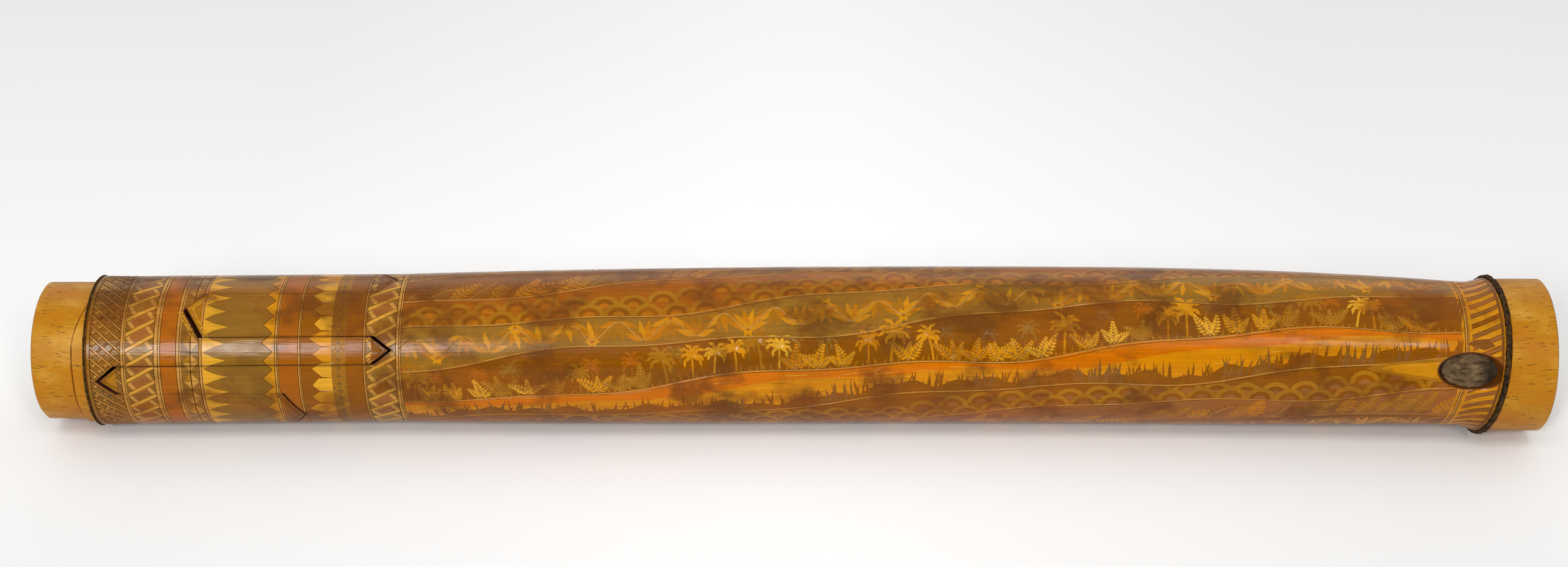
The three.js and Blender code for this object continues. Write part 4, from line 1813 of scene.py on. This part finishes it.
@dataclass
class BranchScar:
    """The sawn and weathered stub of the side branch, an oval in a lip of skin."""

    thick: float = 7.0
    sunk: float = 3.0
    along: float = 0.9
    over: Point = (0.5, -0.1)
    grain: float = 2.6
    lump: float = 0.9

    def build(self, form: CulmForm) -> bpy.types.Object:
        """Models the stub in the solid's place.

        Args:
            form: The culm, in whose seat the stub sits.

        Returns:
            The stub.
        """
        x, s = (np.array([v]) for v in form.branch)
        middle = Vector(form.place(x + self.along, s, form.run(x) - self.sunk)[0])
        lean = math.radians(90 - form.branch_angle)
        deselect()
        bpy.ops.mesh.primitive_ico_sphere_add(subdivisions=6, radius=1.0, location=(0, 0, 0))
        made = bpy.context.object
        made.name = "branch_stub_scar"
        longer, wider = self.over
        size = (form.branch_half_length + longer, form.branch_half_width + wider, self.thick / 2)
        resized(made, tuple(v * MM for v in size))
        roughened(made, self.grain, self.lump)
        made.rotation_euler = (lean, 0, 0)
        made.location = middle
        applied(made)
        bpy.ops.object.shade_smooth()
        return dressed(made, ScarFinish(middle.x / MM).material())


@dataclass(frozen=True)
class Lamp:
    """One area light: its place in degrees and metres, its size in metres and its power in watts."""

    name: str
    turn: float
    rise: float
    away: float
    size: Point
    power: float
    glossy: bool = True
    diffuse: bool = True

    def hang(self) -> None:
        """Makes the light and turns it to the case."""
        data = bpy.data.lights.new(self.name, "AREA")
        data.shape = "RECTANGLE"
        data.size, data.size_y = self.size
        data.energy = self.power
        made = bpy.data.objects.new(self.name, data)
        bpy.context.scene.collection.objects.link(made)
        back = direction(self.turn, self.rise)
        made.location = back * self.away
        made.rotation_euler = back.to_track_quat("Z", "Y").to_euler()
        made.visible_glossy = self.glossy
        made.visible_diffuse = self.diffuse


@dataclass
class Studio:
    """The pale floor, the soft light and the camera of the photograph."""

    image: tuple[int, int] = (2576, 931)
    focal_px: float = 4045.0
    centre_px: Point = (1299.9, 569.0)
    distance: float = 780.0
    elevation: float = 32.0
    azimuth: float = 0.6
    roll: float = 0.08
    sensor: float = 36.0
    sky: Point = (0.06, 0.74)
    sides: float = 0.3
    lamps: tuple[Lamp, ...] = (
        Lamp("left_window", -18.5, 31.0, 2.0, (0.22, 0.44), 20.0),
        Lamp("right_window", 21.0, 36.0, 2.0, (0.2, 0.4), 7.0),
        Lamp("back_panel", 0.0, 148.0, 1.7, (2.6, 0.8), 8.0, diffuse=False),
        Lamp("front_fill", 0.0, 58.0, 2.0, (1.4, 0.6), 13.0, glossy=False),
    )

    def floor(self) -> None:
        """Lays a wide pale floor with painted shade: darker towards both sides and a little further back,
        with a painted shadow in front of the case.
        """
        deselect()
        bpy.ops.mesh.primitive_plane_add(size=12, location=(0, 0, -0.0001))
        made = bpy.context.object
        made.name = "floor"
        g = Graph(bpy.data.materials.new("pale_floor"))
        tone = g.spread(g.noise((3.0, 3.0, 3.0), 2.0), 0.3, 0.7, 0.92, 0.94)
        place = g.add("ShaderNodeSeparateXYZ", Vector=g.coords((1.0, 1.0, 1.0)))
        aside = g.maths("ABSOLUTE", place.outputs["X"])
        paper = g.add("ShaderNodeCombineColor", i0=tone, i1=tone, i2=tone).outputs[0]
        # Painted shade: the paper darkens towards both sides of the case.
        painted_shade_paper = g.shade(paper, g.spread(aside, 0.02, 0.2, 1.0, 0.9))
        # Painted shade further back, and a painted shadow on the floor in front of the case.
        for low, high, least in ((0.05, 0.4, 0.97), (-0.02, -0.18, 0.78)):
            painted_shade_paper = g.shade(painted_shade_paper, g.spread(place.outputs["Y"], low, high, 1.0, least))
        made.data.materials.append(g.finish(Base_Color=painted_shade_paper, Roughness=0.9))
        made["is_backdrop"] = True

    def light(self) -> None:
        """Hangs two windows that shine in the polish and two wide soft lights, under a pale sky."""
        world = bpy.data.worlds.new("studio")
        bpy.context.scene.world = world
        g = Graph(world)
        around = g.add("ShaderNodeTexCoord").outputs["Generated"]
        toward = g.add("ShaderNodeVectorMath", {"operation": "DOT_PRODUCT"}, i0=around, i1=(0.0, 0.6, 0.8))
        level = g.spread(toward.outputs["Value"], 0.1, 0.8, *self.sky)
        aside = g.add("ShaderNodeSeparateXYZ", Vector=around).outputs["X"]
        strength = g.maths("MULTIPLY_ADD", g.maths("MULTIPLY", aside, aside), self.sides, level)
        sky = g.add("ShaderNodeBackground", Color=(1.0, 0.99, 0.97, 1.0), Strength=strength)
        g.add("ShaderNodeOutputWorld", Surface=sky.outputs[0])
        for lamp in self.lamps:
            lamp.hang()

    def camera(self) -> None:
        """Stands the camera where the photograph was taken from."""
        data = bpy.data.cameras.new("photograph")
        data.sensor_width = self.sensor
        data.lens = self.focal_px / self.image[0] * self.sensor
        made = bpy.data.objects.new("photograph", data)
        bpy.context.scene.collection.objects.link(made)
        low, high = cad_box
        target = Vector(((low.x + high.x) / 2, 0.0, (low.z + high.z) / 2))
        back, turn = direction(self.azimuth, self.elevation), math.radians(self.azimuth)
        right = Vector((math.cos(turn), math.sin(turn), 0.0))
        up = back.cross(right)
        place = target + back * self.distance * MM
        per_px = self.distance * MM / self.focal_px
        aside = self.centre_px[0] - self.image[0] / 2
        below = self.centre_px[1] - self.image[1] / 2
        aim = target - right * aside * per_px + up * below * per_px
        made.location = place
        rolled = Quaternion((0, 0, 1), -math.radians(self.roll))
        made.rotation_euler = ((place - aim).to_track_quat("Z", "Y") @ rolled).to_euler()
        bpy.context.scene.camera = made
        bpy.context.scene.view_settings.view_transform = "Standard"


@dataclass
class EngravedCulm:
    """The whole drawing on the culm and the two halves that carry it."""

    form: CulmForm
    seam: Seam
    seed: int = 7
    grid: tuple[float, int] = (6.0, 120)
    edge_inset: float = 0.25
    edge_line: Point = (0.16, 0.03)
    ledge_line: Point = (0.6, 0.2)
    ledge_shift: float = 0.2
    margins: Point = (97.0, 13.3)
    scar_step: float = 0.06
    scar_rings: int = 35
    scar_sides: int = 72

    def draw(self) -> Sheet:
        """Draws the bands and the landscape and cuts them into triangles."""
        art = Engraving(low=self.seam.low)
        chamfer = self.form.chamfer
        rims = {Half.LID: self.form.lid_end + chamfer, Half.BODY: self.form.foot_end - chamfer}
        count = self.grid[1]
        around = [art.low + TURN * k / count for k in range(count + 1)]
        for half, x in rims.items():
            rim = [(x, s) for s in around]
            edge = self.seam.edge(half)
            art.region(rim[::-1] + edge if half is Half.LID else rim + edge[::-1])
        borders = Borders(art, self.form, random.Random(self.seed))
        plain = (self.form.lid_node + self.margins[0], self.form.foot_node - self.margins[1])
        Riverside(art, *plain, random.Random(self.seed + 4)).scene()
        borders.closure()
        borders.foot()
        borders.branch_field()
        borders.tips(self.seam)
        # A dark brown line along the foot of the ledge's step: painted shade under the step.
        ledge = [float(self.form.lid_node - w) for w in self.form.ledge_edge(np.array(around))]
        wide, deep = self.ledge_line
        art.line([(x - self.ledge_shift, s) for x, s in zip(ledge, around)], wide, Tone.UMBER, deep)
        order = self.seam.tongues()
        dark = [arc(order[n].top) for n in self.seam.open_sides]
        for half in Half:
            edge = self.seam.edge(half, self.edge_inset)
            for start, end in zip(edge, edge[1:]):
                if abs(end[1] - start[1]) > 0.8 or any(abs(start[1] - level) < 1 for level in dark):
                    art.line([start, end], self.edge_line[0], Tone.UMBER, self.edge_line[1])
        return art.triangulate(self._spare(around, rims))

    def _spare(self, around: list[float], rims: dict[Half, float]) -> list[Point]:
        """Points that keep the sheet's triangles short, closer together round the branch scar."""
        stations = np.arange(rims[Half.LID] + 1, rims[Half.BODY] - 1, self.grid[0])
        edges = [rims[Half.LID] + 0.3, rims[Half.BODY] - 0.3]
        spare = [(float(x), s) for x in [*stations, *edges] for s in around]
        steps = [self.form.foot_node + self.form.foot_channel]
        for node, half in (
            (self.form.lid_node, self.form.lid_channel), (self.form.foot_node, self.form.foot_channel)
        ):
            steps += [node - half, node + half - self.form.step_width]
        ledge = self.form.lid_node - self.form.ledge_edge(np.array(around))
        spare += [(float(x) + ahead, s) for x, s in zip(ledge, around) for ahead in (0.0, 0.32)]
        for x in steps:
            spare += [(x + ahead, s) for ahead in (0, self.form.step_width) for s in around]
        branch, middle = self.form.branch
        a, b = self.form.branch_half_length, self.form.branch_half_width
        for ring in range(1, self.scar_rings + 1):
            share = self.scar_step * ring
            for k in range(self.scar_sides):
                turn = 2 * math.pi * k / self.scar_sides
                x = branch + share * a * math.cos(turn)
                if x < self.form.foot_node - self.form.foot_channel - 0.2:
                    spare.append((x, middle + share * b * math.sin(turn)))
        return spare

    def build(self) -> list[bpy.types.Object]:
        """Makes the lid and the body.

        Returns:
            The two halves.
        """
        sheet = self.draw()
        materials = [
            SkinFinish().material(), ParedFinish().material(), SawnFinish().material(),
            InsideFinish("culm_inside", (205, 170, 112)).material(),
        ]
        made = []
        for half, name in ((Half.BODY, "body_culm_engraved"), (Half.LID, "lid_culm_engraved")):
            made.append(CulmHalf(half, self.form, sheet, self.seam.low).build(name, materials))
        return made


def settle(piece: bpy.types.Object, body: str, node: str) -> None:
    """Ties a piece to its body, hides the node that it stands for and logs its faces."""
    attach(piece, body)
    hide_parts(node)
    LOG.info("%s: %d faces on %s", piece.name, len(piece.data.polygons), body)


def main() -> None:
    """Builds the case, then the studio round it."""
    logging.basicConfig(level=logging.INFO, format="%(name)s %(message)s")
    form = CulmForm.from_frame()
    body, lid = EngravedCulm(form, Seam(lid_node=form.lid_node)).build()
    settle(body, "case_body", "body_culm")
    settle(lid, "lid", "lid_culm")
    settle(InnerSleeve().build(form), "case_body", "inner_sleeve")
    olive = CorkFinish((48, 34, 10), (104, 78, 32))
    lid_ring = SheathRing("lid_sheath_ring", Vector((1, 0, 0)), 0.48, 0.3, olive).build(form)
    settle(lid_ring, "lid", "lid_sheath_ring")
    foot_ring = SheathRing("foot_sheath_ring", form.foot_way, 1.65, 0.9).build(form)
    settle(foot_ring, "case_body", "foot_sheath_ring")
    settle(BranchScar().build(form), "case_body", "branch_stub")
    studio = Studio()
    studio.floor()
    studio.light()
    studio.camera()
    boxes = {"cad": cad_box, "visual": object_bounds()}
    {name: [list(corner) for corner in box] for name, box in boxes.items()}


if __name__ == "__main__":
    main()
